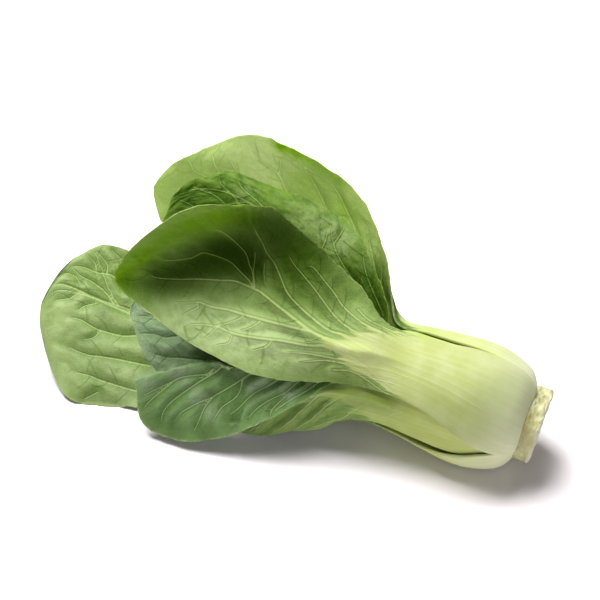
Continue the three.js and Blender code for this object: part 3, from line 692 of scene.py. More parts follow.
# In each leaf below, the patches paint shade, light through rims in shade, and highlights and sheen.
LOOKS = {
    "front_leaf": {
        "seed": 3, "grid": (230, 200), "pale_to": (108, 66), "midrib": 0,
        "outer": (166, 191, 118), "outer_deep": (122, 152, 70), "small_vein": (120, 150, 70),
        "inner": (126, 171, 60), "inner_deep": (93, 142, 37), "vein": (205, 219, 150),
        "grown": [], "pucker": (0.5, 4.6), "quilt": 1.3, "ribs": 6, "small_height": 0.45,
        "shine": 0.05, "wax": 0.0,
        "foot": (208, 210, 178), "stalk": (165, 172, 109), "neck": (170, 180, 109),
        # Painted shade: the hollow under the curled rim, the band turned away from the light, and the
        # stalk below its ridge.
        "deep": [
            [189, 6, 15, 9, 0.6], [181, 12, 14, 10, 0.65], [173, 20, 12, 11, 0.7],
            [165, 27, 14, 12, 0.85],
            [157, 29, 13, 11, 0.9], [150, 25, 11, 9, 0.8], [151, 42, 26, 13, 0.55],
            [141, 44, 25, 14, 0.55],
            [131, 40, 23, 14, 0.6], [121, 36, 23, 12, 0.6], [138, 30, 19, 12, 0.5],
            [126, 24, 23, 10, 0.35],
            [92, -8, 25, 7, 0.15], [105, 30, 22, 10, 0.3], [111, 23, 24, 8, 0.25],
            [125, 15, 23, 9, 0.25],
            [136, 16, 18, 8, 0.2],
            [22, 6, 27, 13, 0.2], [14, 17, 18, 9, 0.16], [40, -8, 27, 12, 0.1], [30, 1, 30, 8, 0.08],
            [47, 1, 29, 5, 0.12], [56, 2, 28, 4, 0.1], [66, 4, 27, 4, 0.08], [38, 1, 30, 5, 0.1],
        ],
        # Painted backlight: the curled rim is in shade, with light coming through it.
        "painted_backlight": [
            [203, 2, 25, 10, 1.0], [195, 12, 27, 10, 1.0], [186, 22, 29, 10, 1.0],
            [178, 32, 30, 11, 1.0],
            [168, 40, 31, 11, 1.0], [158, 46, 31, 9, 0.9],
        ],
        # Painted highlights where the lower blade faces the light.
        "light": [
            [166, -10, 16, 14, 0.6], [148, -8, 19, 14, 0.7], [130, -6, 23, 13, 0.6],
            [114, -4, 25, 10, 0.4],
            [180, -8, 18, 9, 0.4],
        ],
        "painted_highlight": (196, 214, 158),
        "placed": [
            [1.8, 0.6, [
                [88, 6, 27], [98, 7, 28], [112, 8, 28], [126, 12, 24], [138, 15, 18],
                [145, 16, 13], [154, 16, 9], [163, 14, 9], [173, 11, 10], [181, 8, 13],
                [190, 6, 17], [197, 5, 21],
            ]],
            [1.1, 0.5, [
                [145, 16, 13], [150, 19, 10], [156, 22, 9], [162, 25, 11], [170, 25, 14],
                [174, 24, 15], [178, 20, 15], [186, 16, 17], [190, 14, 20],
            ]],
            [1.1, 0.5, [
                [145, 17, 13], [149, 23, 10], [152, 26, 10], [156, 32, 13], [161, 35, 18],
                [167, 37, 23], [171, 36, 25],
            ]],
            [0.9, 0.5, [[146, 19, 11], [149, 26, 10], [151, 32, 13]]],
            [1.4, 0.5, [
                [84, 9, 27], [97, 11, 27], [104, 11, 27], [112, 13, 26], [120, 16, 24],
                [128, 20, 22], [135, 26, 19], [140, 31, 17], [146, 36, 16], [151, 41, 21],
                [155, 47, 30],
            ]],
            [1.1, 0.4, [
                [84, 13, 25], [92, 14, 26], [100, 16, 26], [105, 18, 25], [111, 22, 24],
                [117, 26, 24], [124, 30, 23], [131, 34, 21], [136, 38, 20],
            ]],
            [1.0, 0.4, [
                [84, 17, 22], [92, 19, 24], [102, 23, 24], [108, 27, 23], [114, 31, 23],
                [121, 35, 22], [123, 35, 22],
            ]],
            [1.5, 0.4, [
                [112, 8, 28], [119, 7, 27], [131, 5, 22], [141, 4, 18], [153, 3, 14], [162, 1, 12],
                [168, 1, 12], [168, -1, 13], [171, -5, 15], [177, -11, 18],
            ]],
            [0.6, 0.4, [[168, 1, 12], [172, 0, 13], [179, -2, 15]]],
            [1.4, 0.4, [
                [88, 5, 27], [96, 5, 28], [104, 4, 28], [113, 1, 27], [124, -1, 24], [135, -4, 21],
                [146, -6, 18], [152, -6, 17], [156, -6, 16], [162, -7, 16], [168, -10, 16],
                [171, -14, 18],
            ]],
            [1.2, 0.4, [
                [84, 1, 27], [92, 1, 28], [98, 0, 27], [105, -1, 26], [113, -3, 26], [122, -6, 24],
            ]],
            [1.0, 0.4, [[80, -2, 26], [93, -1, 27], [101, -2, 26], [108, -5, 26], [114, -8, 25]]],
            [0.8, 0.5, [[144, 29, 13], [143, 25, 13], [141, 20, 15]]],
            [0.9, 0.5, [[101, 7, 29], [90, 3, 28], [74, -2, 26], [65, -3, 27]]],
            [0.9, 0.5, [[90, -2, 27], [78, -3, 26], [66, -6, 26]]],
            [0.8, 0.5, [[97, -5, 25], [90, -3, 26], [80, -5, 25], [71, -7, 26], [59, -10, 27]]],
            [0.8, 0.5, [[96, 24, 23], [88, 21, 23], [79, 20, 20], [70, 21, 17]]],
            [0.7, 0.4, [[155, -6, 16], [157, -10, 17], [160, -13, 18]]],
            [0.7, 0.4, [[147, -8, 19], [148, -11, 19], [153, -14, 19]]],
            [0.7, 0.4, [[146, 2, 17], [150, -2, 16], [155, -5, 16]]],
            [0.7, 0.4, [[137, 3, 20], [140, -1, 19], [145, -4, 18]]],
            [0.7, 0.4, [[128, -3, 23], [130, -6, 23], [136, -10, 21]]],
        ],
    },
    "under_leaf": {
        "seed": 5, "grid": (220, 160), "grown": [1],
        "inner": (166, 185, 124), "inner_deep": (120, 148, 72), "small_vein": (98, 130, 56),
        "vein": (194, 212, 142),
        "rough": (0.5, 0.48), "pucker": (0.6, 5.5), "quilt": 1.5, "wax": 0.05, "small_height": 0.4,
        "placed": [
            [2.2, 0.8, [[206, -19, -28], [219, -18, -26], [232, -17, -24], [244, -18, -22]]],
            [1.2, 0.5, [
                [199, -28, -26], [205, -30, -24], [212, -31, -23], [219, -31, -22],
                [226, -30, -21], [232, -30, -20],
            ]],
            [1.2, 0.5, [
                [187, -39, -22], [195, -40, -21], [203, -41, -20], [211, -43, -18],
                [218, -44, -17], [229, -44, -17],
            ]],
            [1.2, 0.5, [
                [188, -52, -16], [197, -53, -16], [206, -53, -16], [212, -53, -15],
                [220, -54, -15],
            ]],
            [1.0, 0.4, [
                [215, -17, -28], [222, -13, -28], [229, -11, -28], [235, -10, -27], [241, -8, -27],
            ]],
            [1.0, 0.4, [
                [214, -10, -31], [221, -5, -32], [228, -6, -30], [235, -6, -29], [240, -7, -27],
            ]],
            [0.7, 0.4, [[223, -5, -31], [225, -1, -33], [230, 2, -33], [232, 3, -33]]],
            [0.7, 0.4, [[229, -6, -30], [231, -2, -31], [236, 0, -32]]],
            [0.6, 0.4, [[234, -13, -25], [237, -11, -26], [243, -12, -25]]],
            [0.6, 0.4, [[205, -59, -14], [208, -62, -13], [210, -64, -12]]],
            [0.6, 0.4, [[222, -20, -25], [227, -23, -23], [229, -25, -22]]],
            [0.6, 0.4, [[232, -18, -24], [235, -22, -22], [241, -25, -21]]],
            [0.6, 0.4, [[215, -32, -22], [218, -36, -20], [221, -38, -19]]],
            [0.8, 0.4, [[216, 2, -36], [221, 4, -36], [226, 6, -35]]],
        ],
        "deep": [
            [216, -24, -24, 5, 0.25], [222, -40, -19, 8, 0.25], [206, -47, -18, 6, 0.2],
            [194, -58, -15, 7, 0.3], [204, -62, -13, 7, 0.3], [213, -64, -12, 6, 0.25],
        ],
    },
    "back_leaf": {
        "seed": 7, "grid": (200, 150), "grown": [-1],
        "inner": (203, 224, 140), "inner_deep": (162, 196, 86), "glow": (224, 236, 190),
        "pucker": (0.6, 4.6), "quilt": 1.3,
        "vein": (246, 250, 214), "small_vein": (150, 178, 90), "thin": 0.78, "shine": 0.15, "wax": 0.03,
        "placed": [
            [1.3, 0.5, [
                [100, 36, -22], [107, 47, -21], [114, 55, -20], [121, 62, -20], [128, 69, -19],
                [135, 73, -18], [144, 75, -19], [152, 78, -18], [164, 80, -17],
            ]],
            [1.2, 0.5, [
                [118, 42, -28], [126, 53, -27], [133, 61, -25], [137, 66, -24], [142, 71, -22],
                [147, 75, -20],
            ]],
            [1.2, 0.5, [
                [140, 46, -33], [147, 55, -31], [153, 61, -29], [157, 66, -26], [162, 69, -25],
                [168, 71, -24], [172, 73, -22],
            ]],
            [1.0, 0.5, [
                [158, 48, -34], [168, 56, -31], [176, 61, -28], [180, 64, -26], [183, 67, -23],
            ]],
            [1.0, 0.5, [
                [176, 46, -33], [186, 54, -27], [196, 56, -22], [199, 59, -19], [201, 61, -16],
            ]],
            [1.0, 0.5, [
                [168, 48, -35], [180, 56, -29], [188, 61, -25], [190, 65, -21], [191, 67, -18],
            ]],
            [1.0, 0.5, [
                [92, 31, -19], [97, 39, -17], [102, 45, -16], [106, 53, -16], [111, 61, -15],
            ]],
            [0.9, 0.4, [[88, 27, -16], [93, 33, -14], [95, 40, -13], [98, 48, -12]]],
            [0.8, 0.4, [[157, 66, -26], [159, 70, -25], [159, 75, -21]]],
        ],
        # Painted backlight: the margin that rolls over and the part beyond the ridge, in shade with
        # light coming through.
        "painted_backlight": [
            [160, 83, -15, 5, 1.0], [152, 83, -14, 5, 0.9], [144, 81, -14, 5, 0.5],
            [136, 79, -13, 5, 0.4],
            [128, 76, -13, 5, 0.4], [145, 68, -25, 12, 0.2], [122, 62, -20, 10, 0.3],
        ],
        "deep": [[96, 38, -13, 9, 0.45], [88, 30, -9, 8, 0.5]],
        # Painted light and sheen on the upper blade.
        "light": [
            [190, 70, -17, 8, 0.7], [179, 73, -20, 9, 0.8], [167, 77, -19, 9, 0.9],
            [171, 62, -28, 10, 0.7],
            [152, 76, -18, 7, 0.6], [158, 66, -26, 9, 0.5],
        ],
        "painted_highlight": (224, 236, 190),
    },
    "side_leaf": {
        "seed": 9, "grid": (200, 160), "pale_to": (100, 72), "grown": [1], "lean": (38, 46),
        "inner": (134, 166, 108), "inner_deep": (76, 116, 44), "vein": (188, 208, 146),
        "small_vein": (150, 176, 116), "rough": (0.46, 0.42), "pucker": (0.45, 4.6), "quilt": 2.4,
        "swell": 3.2, "foot": (190, 198, 140), "stalk": (162, 174, 84), "neck": (130, 152, 56),
        "painted_highlight": (164, 182, 146),
        "placed": [
            [1.3, 0.4, [
                [140, -15, 13], [145, -20, 12], [151, -28, 12], [158, -37, 10], [165, -47, 7],
                [168, -54, 6], [168, -60, 4],
            ]],
            [1.3, 0.4, [
                [126, -13, 15], [131, -18, 14], [137, -25, 13], [143, -32, 12], [149, -40, 10],
                [155, -46, 9], [160, -52, 7], [162, -59, 5],
            ]],
            [1.2, 0.4, [
                [114, -12, 17], [118, -16, 17], [124, -23, 16], [130, -31, 14], [135, -39, 12],
                [138, -45, 11],
            ]],
            [1.1, 0.4, [
                [106, -10, 18], [109, -13, 18], [113, -19, 18], [116, -24, 17], [122, -31, 15],
                [127, -38, 14], [128, -42, 13],
            ]],
            [1.0, 0.4, [
                [98, -8, 19], [101, -11, 19], [105, -18, 18], [111, -25, 17], [116, -31, 16],
                [117, -34, 16],
            ]],
            [0.9, 0.4, [
                [152, -26, 12], [155, -30, 12], [166, -36, 9], [170, -42, 8], [176, -51, 6],
                [178, -56, 4],
            ]],
            [0.8, 0.4, [[137, -25, 13], [137, -34, 12], [142, -42, 11], [145, -51, 9]]],
            [0.7, 0.4, [[166, -36, 9], [174, -44, 7], [180, -50, 6]]],
            [0.7, 0.4, [[148, -39, 11], [150, -45, 9], [151, -51, 8], [151, -57, 7]]],
            [0.7, 0.4, [[115, -26, 17], [119, -33, 16], [119, -36, 16]]],
        ],
        "deep": [
            [118, -38, 13, 6, 0.08], [98, -11, 19, 5, 0.35], [106, -17, 18, 4, 0.25],
            [70, -9, 22, 8, 0.25],
            [82, -14, 20, 8, 0.25], [150, -37, 11, 3, 0.25], [145, -56, 8, 7, 0.38],
            [160, -60, 5, 8, 0.38], [172, -60, 4, 7, 0.3], [136, -47, 11, 6, 0.3],
        ],
        # Painted sheen on the tops of the bulges.
        "light": [
            [149, -21, 12, 5, 0.7], [155, -41, 9, 5, 0.6], [140, -21, 13, 4, 0.5],
            [114, -24, 17, 4, 0.9],
            [126, -25, 15, 4, 0.5], [180, -44, 7, 6, 0.5], [132, -27, 14, 4, 0.5],
            [146, -46, 10, 5, 0.5],
            [166, -34, 9, 6, 0.6],
        ],
    },
    "second_back_leaf": {
        "seed": 11, "grid": (170, 120), "pale_to": (96, 72), "grown": [-1],
        "inner": (116, 148, 50), "inner_deep": (66, 102, 14), "vein": (160, 188, 100),
        "small_vein": (62, 92, 24), "rough": (0.46, 0.4), "wax": 0.02, "shine": 0.12,
        "pucker": (0.9, 3.6), "small_height": 0.1, "small_width": 0.4, "painted_highlight": (150, 170, 108),
        "placed": [
            [1.0, 0.4, [[92, 20, -5], [102, 31, -3], [112, 39, -3], [120, 47, -3], [126, 57, -6]]],
            [0.9, 0.4, [[116, 30, -4], [123, 40, -3], [124, 48, -3], [124, 52, -4]]],
            [0.9, 0.4, [[148, 44, -3], [158, 53, -3], [167, 57, -3], [172, 60, -4]]],
            [0.9, 0.4, [[160, 43, -3], [170, 51, -3], [178, 55, -3], [180, 57, -3]]],
            [0.9, 0.4, [[164, 40, -4], [174, 47, -3], [182, 50, -3], [186, 50, -3], [192, 50, -2]]],
            [0.8, 0.4, [[176, 34, -5], [188, 41, -3], [195, 42, -2]]],
            [0.7, 0.4, [[120, 47, -3], [118, 56, -6]]],
            [0.9, 0.4, [[86, 24, -2], [95, 33, -2], [101, 40, -2], [106, 49, -3]]],
        ],
        # Painted sheen on the glossy wrinkles.
        "light": [
            [168, 56, -5, 6, 0.4], [136, 54, -4, 8, 0.6], [124, 51, -4, 8, 0.9], [115, 49, -4, 7, 0.8],
            [100, 44, -3, 5, 0.4],
        ],
        "deep": [
            [92, 28, -2, 9, 0.4], [104, 35, -3, 7, 0.35], [148, 55, -4, 5, 0.15],
            [193, 46, -2, 9, 0.15],
        ],
    },
    "low_leaf": {
        "seed": 13, "grid": (150, 110), "pale_to": (92, 74), "grown": [1],
        "inner": (185, 207, 164), "inner_deep": (131, 163, 111), "vein": (180, 192, 150),
        "small_vein": (84, 104, 66), "pucker": (0.7, 4.5), "quilt": 0.9, "rough": (0.5, 0.45),
        "placed": [
            [0.9, 0.5, [
                [166, -15, -9], [175, -19, -7], [181, -22, -5], [186, -22, -4], [190, -23, -3],
                [194, -24, -2],
            ]],
            [0.9, 0.5, [[160, -26, -9], [171, -29, -7], [178, -31, -6], [183, -31, -4]]],
            [0.7, 0.4, [[178, -12, -6], [188, -14, -4], [196, -16, -2]]],
        ],
        "deep": [[158, -22, -10, 8, 0.6], [163, -16, -9, 7, 0.5], [150, -26, -11, 8, 0.6]],
    },
    "far_leaf": {"seed": 15, "grid": (140, 100)},
    "second_front_leaf": {"seed": 17, "grid": (140, 90)},
    "heart_leaf_1": {"seed": 19, "grid": (90, 50)},
    "heart_leaf_2": {"seed": 21, "grid": (90, 50)},
    "heart_leaf_3": {"seed": 23, "grid": (90, 50)},
}
LOOKS = {name: COMMON | look for name, look in LOOKS.items()}


# One leaf's relief, colour marks and mesh

def vein_layers(sheet, look):
    """The large veins, the small ones, and the broad swell of the blade along the large ones."""
    chance = np.random.default_rng(look["seed"])
    main = placed_veins(sheet, look)
    for side in look["grown"]:
        main += [line for line in side_veins(sheet, look, chance) if line[0][-1][0] * side > 0]
    large, small, swell = new_layer(sheet), new_layer(sheet), new_layer(sheet)
    if look["midrib"]:
        s, y = sheet["s"], sheet["y"]
        start = np.interp(sheet["neck"] - 6, s[:, s.shape[1] // 2], y[:, 0])
        middle = [[0, start], [0, (start + y[-1, 0]) / 2], [0, y[-1, 0] - 3]]
        lay_vein(sheet, (middle, look["midrib"], 0.4, 0.5), large)
        lay_vein(sheet, (middle, 5, 4, 1), swell)
    for vein in main:
        lay_vein(sheet, vein, large)
        lay_vein(sheet, (vein[0], look["swell"], look["swell"] * 0.7, 1), swell)
    for vein in small_veins(sheet, main, look, chance):
        lay_vein(sheet, vein, small)
    return large, small, swell


def stalk_ribs(sheet, look, limit):
    """The ribs along the stalk, from 0 to 1. They end where the blade begins."""
    x, y, s, v = sheet["x"], sheet["y"], sheet["s"], sheet["v"]
    seed = look["seed"] * 10
    wobble = v * look["ribs"] + 0.35 * soft_noise(x, y, 22, seed + 2)
    wobble = wobble + 0.2 * soft_noise(v * 40, y * 0.05, 3, seed + 3)
    ribs = (0.5 + 0.5 * np.cos(2 * np.pi * wobble)) ** 2
    ribs = ribs * (0.55 + 0.45 * soft_noise(v * 60, y * 0.04, 2, seed + 4))
    return ribs * smooth(16, 40, s) * (1 - smooth(limit - 6, limit + 16, s)) * (1 - np.abs(v) ** 6)


def blade_billow(leaf, sheet, look, blade, swell):
    """The puckers of the blade, and its quilted sag between the large veins."""
    x, y, s = sheet["x"], sheet["y"], sheet["s"]
    height, size = look["pucker"]
    seed = look["seed"] * 10
    pucker = fold_noise(x, y * 0.85, size, seed + 5) * height
    fine = fold_noise(x, y, size * 0.38, seed + 7) * height * 0.35
    freed = smooth(leaf["loose"][0], leaf["loose"][1] + 18, s)
    dip = np.minimum(swell["ridge"] * 1.2, 1)
    billow = (pucker + fine) * (1 - 0.7 * dip) * blade * freed
    return billow - look["quilt"] * (dip - 0.35) * blade * freed


def sheet_marks(leaf, sheet, look):
    """What stands proud of the leaf and what colours it, at each point of the sheet."""
    x, y, s, v = sheet["x"], sheet["y"], sheet["s"], sheet["v"]
    seed = look["seed"] * 10
    large, small, swell = vein_layers(sheet, look)

    # The pale tissue runs out into the blade along the veins and in the pleats of the neck.
    pleats = 0.5 + 0.5 * np.cos(2 * np.pi * (v * 9 + 1.4 * soft_noise(x, y * 0.25, 8, seed + 9)))
    off = np.abs(v) ** 0.85
    limit = look["pale_to"][0] * (1 - off) + look["pale_to"][1] * off
    limit = limit + 7 * large["near"] ** 2 + 3 * soft_noise(x, y * 0.15, 3.5, seed)
    limit = limit + 4 * (pleats - 0.5) * smooth(0.05, 0.4, np.abs(v))
    blade = smooth(-16, 12, s - limit)

    ribs = stalk_ribs(sheet, look, limit)
    billow = blade_billow(leaf, sheet, look, blade, swell)
    ridge = np.maximum(large["ridge"], small["ridge"])
    fanned = smooth(60, 98, s) * (1 - smooth(limit + 2, limit + 22, s))
    fanned = fanned * (0.1 + 0.9 * smooth(0.2, 0.8, np.abs(v)))
    fanned = fanned * (0.6 + 0.4 * soft_noise(v * 50, y * 0.05, 4, seed + 11))
    groove = (1 - pleats) ** 2 * fanned
    hollow = 0.5 + 0.5 * billow / (look["pucker"][0] + look["quilt"] + 0.01)
    return {
        "billow": billow * (1 - 0.5 * sheet["edge"]),
        "outer": ridge * (0.35 + 0.65 * blade) + look["rib_height"] * ribs - 0.4 * groove,
        "inner": 0.45 * ridge * blade - 0.08 * ribs,
        "large": large,
        "small": small,
        "pale": 1 - smooth(-6, 2, s - limit),
        "rib": ribs,
        "groove": groove,
        "hollow": np.clip(hollow, 0, 1),
        # Patches of painted shade, of painted backlight on rims in shade, and of painted highlights and
        # sheen.
        "deep": patches(sheet, look["deep"]),
        "painted_backlight": patches(sheet, look["painted_backlight"]),
        "light": patches(sheet, look["light"]),
    }


def patches(sheet, spots):
    """Soft patches at [s, q, w, radius, strength], from 0 to 1."""
    points = in_head(sheet["points"])
    cover = np.zeros(points.shape[:2])
    for s, q, w, radius, strength in spots:
        away = ((points - [s, q, w]) ** 2).sum(axis=2)
        cover = 1 - (1 - cover) * (1 - strength * np.exp(-((away / radius**2) ** 1.2)))
    return cover


def closed_skin(up, across):
    """Two even grids, one over the other, joined round their rims."""
    skin = bmesh.new()
    bmesh.ops.create_grid(skin, x_segments=across, y_segments=up, size=1)
    copied = bmesh.ops.duplicate(skin, geom=skin.verts[:] + skin.edges[:] + skin.faces[:])
    raised = [part for part in copied["geom"] if isinstance(part, bmesh.types.BMVert)]
    bmesh.ops.translate(skin, verts=raised, vec=(0, 0, 1))
    rims = [edge for edge in skin.edges if edge.is_boundary]
    bmesh.ops.bridge_loops(skin, edges=rims)
    return skin


def finished_mesh(body, name):
    bmesh.ops.recalc_face_normals(body, faces=body.faces[:])
    mesh = bpy.data.meshes.new(name)
    body.to_mesh(mesh)
    body.free()
    mesh.shade_smooth()
    return mesh


def give_values(mesh, values):
    """Gives the mesh a number at each of its points, under each name."""
    for key, value in values.items():
        layer = mesh.attributes.new(key, "FLOAT", "POINT")
        layer.data.foreach_set("value", np.asarray(value, np.float32))


def two_faces(leaf, sheet, marks):
    """The leaf's outer and inner face. The margin and the foot are rounded off."""
    points = sheet["points"] + sheet["through"] * marks["billow"][..., None]
    thickness = sheet["thickness"]
    reach = np.maximum(np.abs(sheet["x"][:, [0, -1]]), 0.01)
    from_edge = np.where(sheet["v"] < 0, reach[:, :1], reach[:, 1:]) - np.abs(sheet["x"])
    rounded = np.clip(1 - from_edge / np.maximum(thickness * 0.6, 0.3), 0, 1)
    thickness = thickness * np.maximum(np.sqrt(1 - rounded**2), 0.25)
    round_foot = np.sqrt(1 - (1 - smooth(0, 1, (sheet["s"] - leaf["foot"]) / 7)) ** 2)
    full = thickness * (round_foot - 0.5) + marks["outer"]
    outer = points - sheet["through"] * full[..., None]
    inner = points + sheet["through"] * (thickness / 2 - marks["inner"])[..., None]
    outer[..., 2] = np.maximum(outer[..., 2], 0.02)
    inner[..., 2] = np.maximum(inner[..., 2], 0.3)
    return outer, inner


def make_leaf(leaf, look):
    up, across = look["grid"]
    sheet = leaf_sheet(leaf, up, across, look["flutter"])
    marks = sheet_marks(leaf, sheet, look)
    outer, inner = two_faces(leaf, sheet, marks)

    skin = closed_skin(up, across)
    spots = np.array([vert.co[:] for vert in skin.verts])
    column = np.rint((spots[:, 0] + 1) / 2 * across).astype(int)
    row = np.rint((spots[:, 1] + 1) / 2 * up).astype(int)
    inside = spots[:, 2] > 0.5
    places = np.where(inside[:, None], inner[row, column], outer[row, column]) * MM
    for vert, spot in zip(skin.verts, places):
        vert.co = spot

    name = leaf["name"]
    mesh = finished_mesh(skin, name + "_skin")
    corners = np.zeros(len(mesh.loops), int)
    mesh.loops.foreach_get("vertex_index", corners)
    spread = np.stack([sheet["x"][row, column], sheet["y"][row, column]], axis=1) / 100
    flat = mesh.uv_layers.new(name="leaf_plane")
    flat.uv.foreach_set("vector", spread[corners].astype(np.float32).ravel())
    values = {key: marks[key] for key in ("pale", "rib", "groove", "hollow", "deep", "painted_backlight", "light")}
    for size in ("large", "small"):
        values[size + "_side"] = marks[size]["side"]
        values[size + "_near"] = marks[size]["near"]
    values["edge"] = np.abs(sheet["v"])
    values["up"] = sheet["s"] / 100
    give_values(mesh, {key: value[row, column] for key, value in values.items()})
    give_values(mesh, {"inside": inside})

    piece = bpy.data.objects.new(name + "_skin", mesh)
    bpy.context.collection.objects.link(piece)
    mesh.materials.append(leaf_finish(name, look))
    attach(piece, "root")
    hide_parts(name)


# Finishes

def paint(red, green, blue):
    """A colour as seen on a screen, 0 to 255, as the light that it gives back."""
    light = [
        c / 255 / 12.92 if c < 11 else ((c / 255 + 0.055) / 1.055) ** 2.4
        for c in (red, green, blue)
    ]
    return (*light, 1.0)


def add(tree, kind, inputs=None, **settings):
    made = tree.nodes.new(kind)
    for name, value in settings.items():
        setattr(made, name, value)
    for name, value in (inputs or {}).items():
        if isinstance(value, bpy.types.NodeSocket):
            tree.links.new(value, made.inputs[name])
        else:
            made.inputs[name].default_value = value
    return made


def mark(tree, name):
    return add(tree, "ShaderNodeAttribute", attribute_name=name).outputs["Fac"]


def sums(tree, operation, first, second, third=None):
    inputs = {0: first, 1: second}
    if third is not None:
        inputs[2] = third
    return add(tree, "ShaderNodeMath", inputs, operation=operation).outputs[0]


def eased(tree, value, low, high, start=0.0, end=1.0):
    inputs = {"Value": value, "From Min": low, "From Max": high, "To Min": start, "To Max": end}
    made = add(tree, "ShaderNodeMapRange", inputs, interpolation_type="SMOOTHSTEP")
    return made.outputs["Result"]


def mixed(tree, share, first, second, blend="MIX"):
    inputs = {0: share, 6: first, 7: second}
    made = add(tree, "ShaderNodeMix", inputs, data_type="RGBA", blend_type=blend)
    return made.outputs[2]


def mottle(tree, place, size, detail=2.0, stretch=None):
    """Soft patches of this size in millimetres, about 0.5 on average."""
    if stretch:
        place = add(tree, "ShaderNodeMapping", {"Vector": place, "Scale": stretch}).outputs[0]
    inputs = {"Vector": place, "Scale": 100 / size, "Detail": detail}
    return add(tree, "ShaderNodeTexNoise", inputs).outputs["Fac"]


def meshes(tree, place, size, width):
    """A net with meshes of this size in millimetres, 1 on its lines and 0 inside."""
    made = add(
        tree, "ShaderNodeTexVoronoi", {"Vector": place, "Scale": 100 / size},
        feature="DISTANCE_TO_EDGE", voronoi_dimensions="2D",
    )
    return eased(tree, made.outputs["Distance"], 0.0, width, 1.0, 0.0)


# How much of each colour a patch of painted backlight and a patch of painted shade give back, of what
# the leaf gives elsewhere.
PAINTED_BACKLIGHT = (0.6, 0.8, 0.04, 1.0)
PAINTED_SHADE = (0.25, 0.34, 0.06, 1.0)


def vein_line(tree, size):
    """A sharp line along the veins of that size, the rounded ridge under it, and the band beside it
    where shade is painted.
    """
    side = sums(tree, "ABSOLUTE", mark(tree, size + "_side"), 0.0)
    close = eased(tree, mark(tree, size + "_near"), 0.4, 0.55)
    line = sums(tree, "MULTIPLY", eased(tree, side, 0.2, 0.65, 1.0, 0.0), close)
    ridge = sums(tree, "MULTIPLY", eased(tree, side, 0.0, 1.8, 1.0, 0.0), close)
    flank = sums(tree, "MULTIPLY", eased(tree, side, 0.7, 1.1), eased(tree, side, 1.4, 2.6, 1.0, 0.0))
    return line, ridge, sums(tree, "MULTIPLY", flank, close)


def shaded(tree, colour, veined):
    """A colour with its patches of painted backlight and of painted shade; the painted shade is lighter
    along the veins.
    """
    colour = mixed(tree, mark(tree, "painted_backlight"), colour, mixed(tree, 1.0, colour, PAINTED_BACKLIGHT, "MULTIPLY"))
    share = sums(tree, "MULTIPLY", mark(tree, "deep"), eased(tree, veined, 0.0, 1.0, 1.0, 0.55))
    for layer in range(2):
        colour = mixed(tree, share, colour, mixed(tree, 1.0, colour, PAINTED_SHADE, "MULTIPLY"))
    return colour


def new_finish(name):
    finish = bpy.data.materials.new(name)
    finish.use_nodes = True
    tree = finish.node_tree
    tree.nodes.clear()
    return finish, tree, tree.nodes.new("ShaderNodeOutputMaterial")


def blade_green(tree, look, plane, nets):
    """The blade: lighter and darker green, painted shade in its hollows, the fine nets, the margin with
    painted glints, and painted highlights.
    """
    inside, hollow = mark(tree, "inside"), mark(tree, "hollow")
    blade = mixed(tree, inside, paint(*look["outer"]), paint(*look["inner"]))
    deep = mixed(tree, inside, paint(*look["outer_deep"]), paint(*look["inner_deep"]))
    # Random darker patches, and painted shade in the hollows of the blade's relief on the face that
    # shows.
    sunk = mixed(tree, inside, hollow, sums(tree, "SUBTRACT", 1.0, hollow))
    broad = eased(tree, mottle(tree, plane, 28), 0.35, 0.65)
    patchy = eased(tree, mottle(tree, plane, 5, 4.0), 0.3, 0.7)
    share = sums(tree, "ADD", sums(tree, "MULTIPLY", broad, 0.2), sums(tree, "MULTIPLY", patchy, 0.2))
    share = sums(tree, "ADD", share, sums(tree, "MULTIPLY", eased(tree, sunk, 0.28, 0.7), 0.6))
    blade = mixed(tree, share, blade, deep)
    coarse, fine = nets
    netted = sums(tree, "ADD", sums(tree, "MULTIPLY", coarse, 0.10), sums(tree, "MULTIPLY", fine, 0.07))
    blade = mixed(tree, netted, blade, paint(*look["vein"]))
    # Painted glints: a pale dotted line along the margin.
    painted_glints = eased(tree, mottle(tree, plane, 2.2, 1.0), 0.45, 0.62, 0.25, 0.9)
    margin = sums(tree, "MULTIPLY", eased(tree, mark(tree, "edge"), 0.97, 0.99), painted_glints)
    blade = mixed(tree, margin, blade, paint(*look["vein"]))
    # Painted highlights and sheen in the light patches.
    painted_highlight = eased(tree, mottle(tree, plane, 3.0, 3.0), 0.3, 0.6, 0.4, 1.0)
    painted_highlight = sums(tree, "MULTIPLY", painted_highlight, mark(tree, "light"))
    return mixed(tree, painted_highlight, blade, paint(*look["painted_highlight"])), deep


def stalk_green(tree, look, plane):
    """The stalk: almost white at the foot, green at the neck, streaked along its length."""
    up, foot = mark(tree, "up"), paint(*look["foot"])
    stalk = mixed(tree, eased(tree, up, 0.05, 0.42), foot, paint(*look["stalk"]))
    stalk = mixed(tree, eased(tree, up, 0.34, look["pale_to"][0] / 100), stalk, paint(*look["neck"]))
    streak = eased(tree, mottle(tree, plane, 2.2, 3.0, (1.0, 0.06, 1.0)), 0.3, 0.7)
    stalk = mixed(tree, sums(tree, "MULTIPLY", streak, 0.2), stalk, paint(*look["streak"]))
    cloudy = eased(tree, mottle(tree, plane, 12, 3.0), 0.35, 0.7)
    stalk = mixed(tree, sums(tree, "MULTIPLY", cloudy, 0.22), stalk, foot)
    return mixed(tree, sums(tree, "MULTIPLY", mark(tree, "rib"), 0.15), stalk, foot)


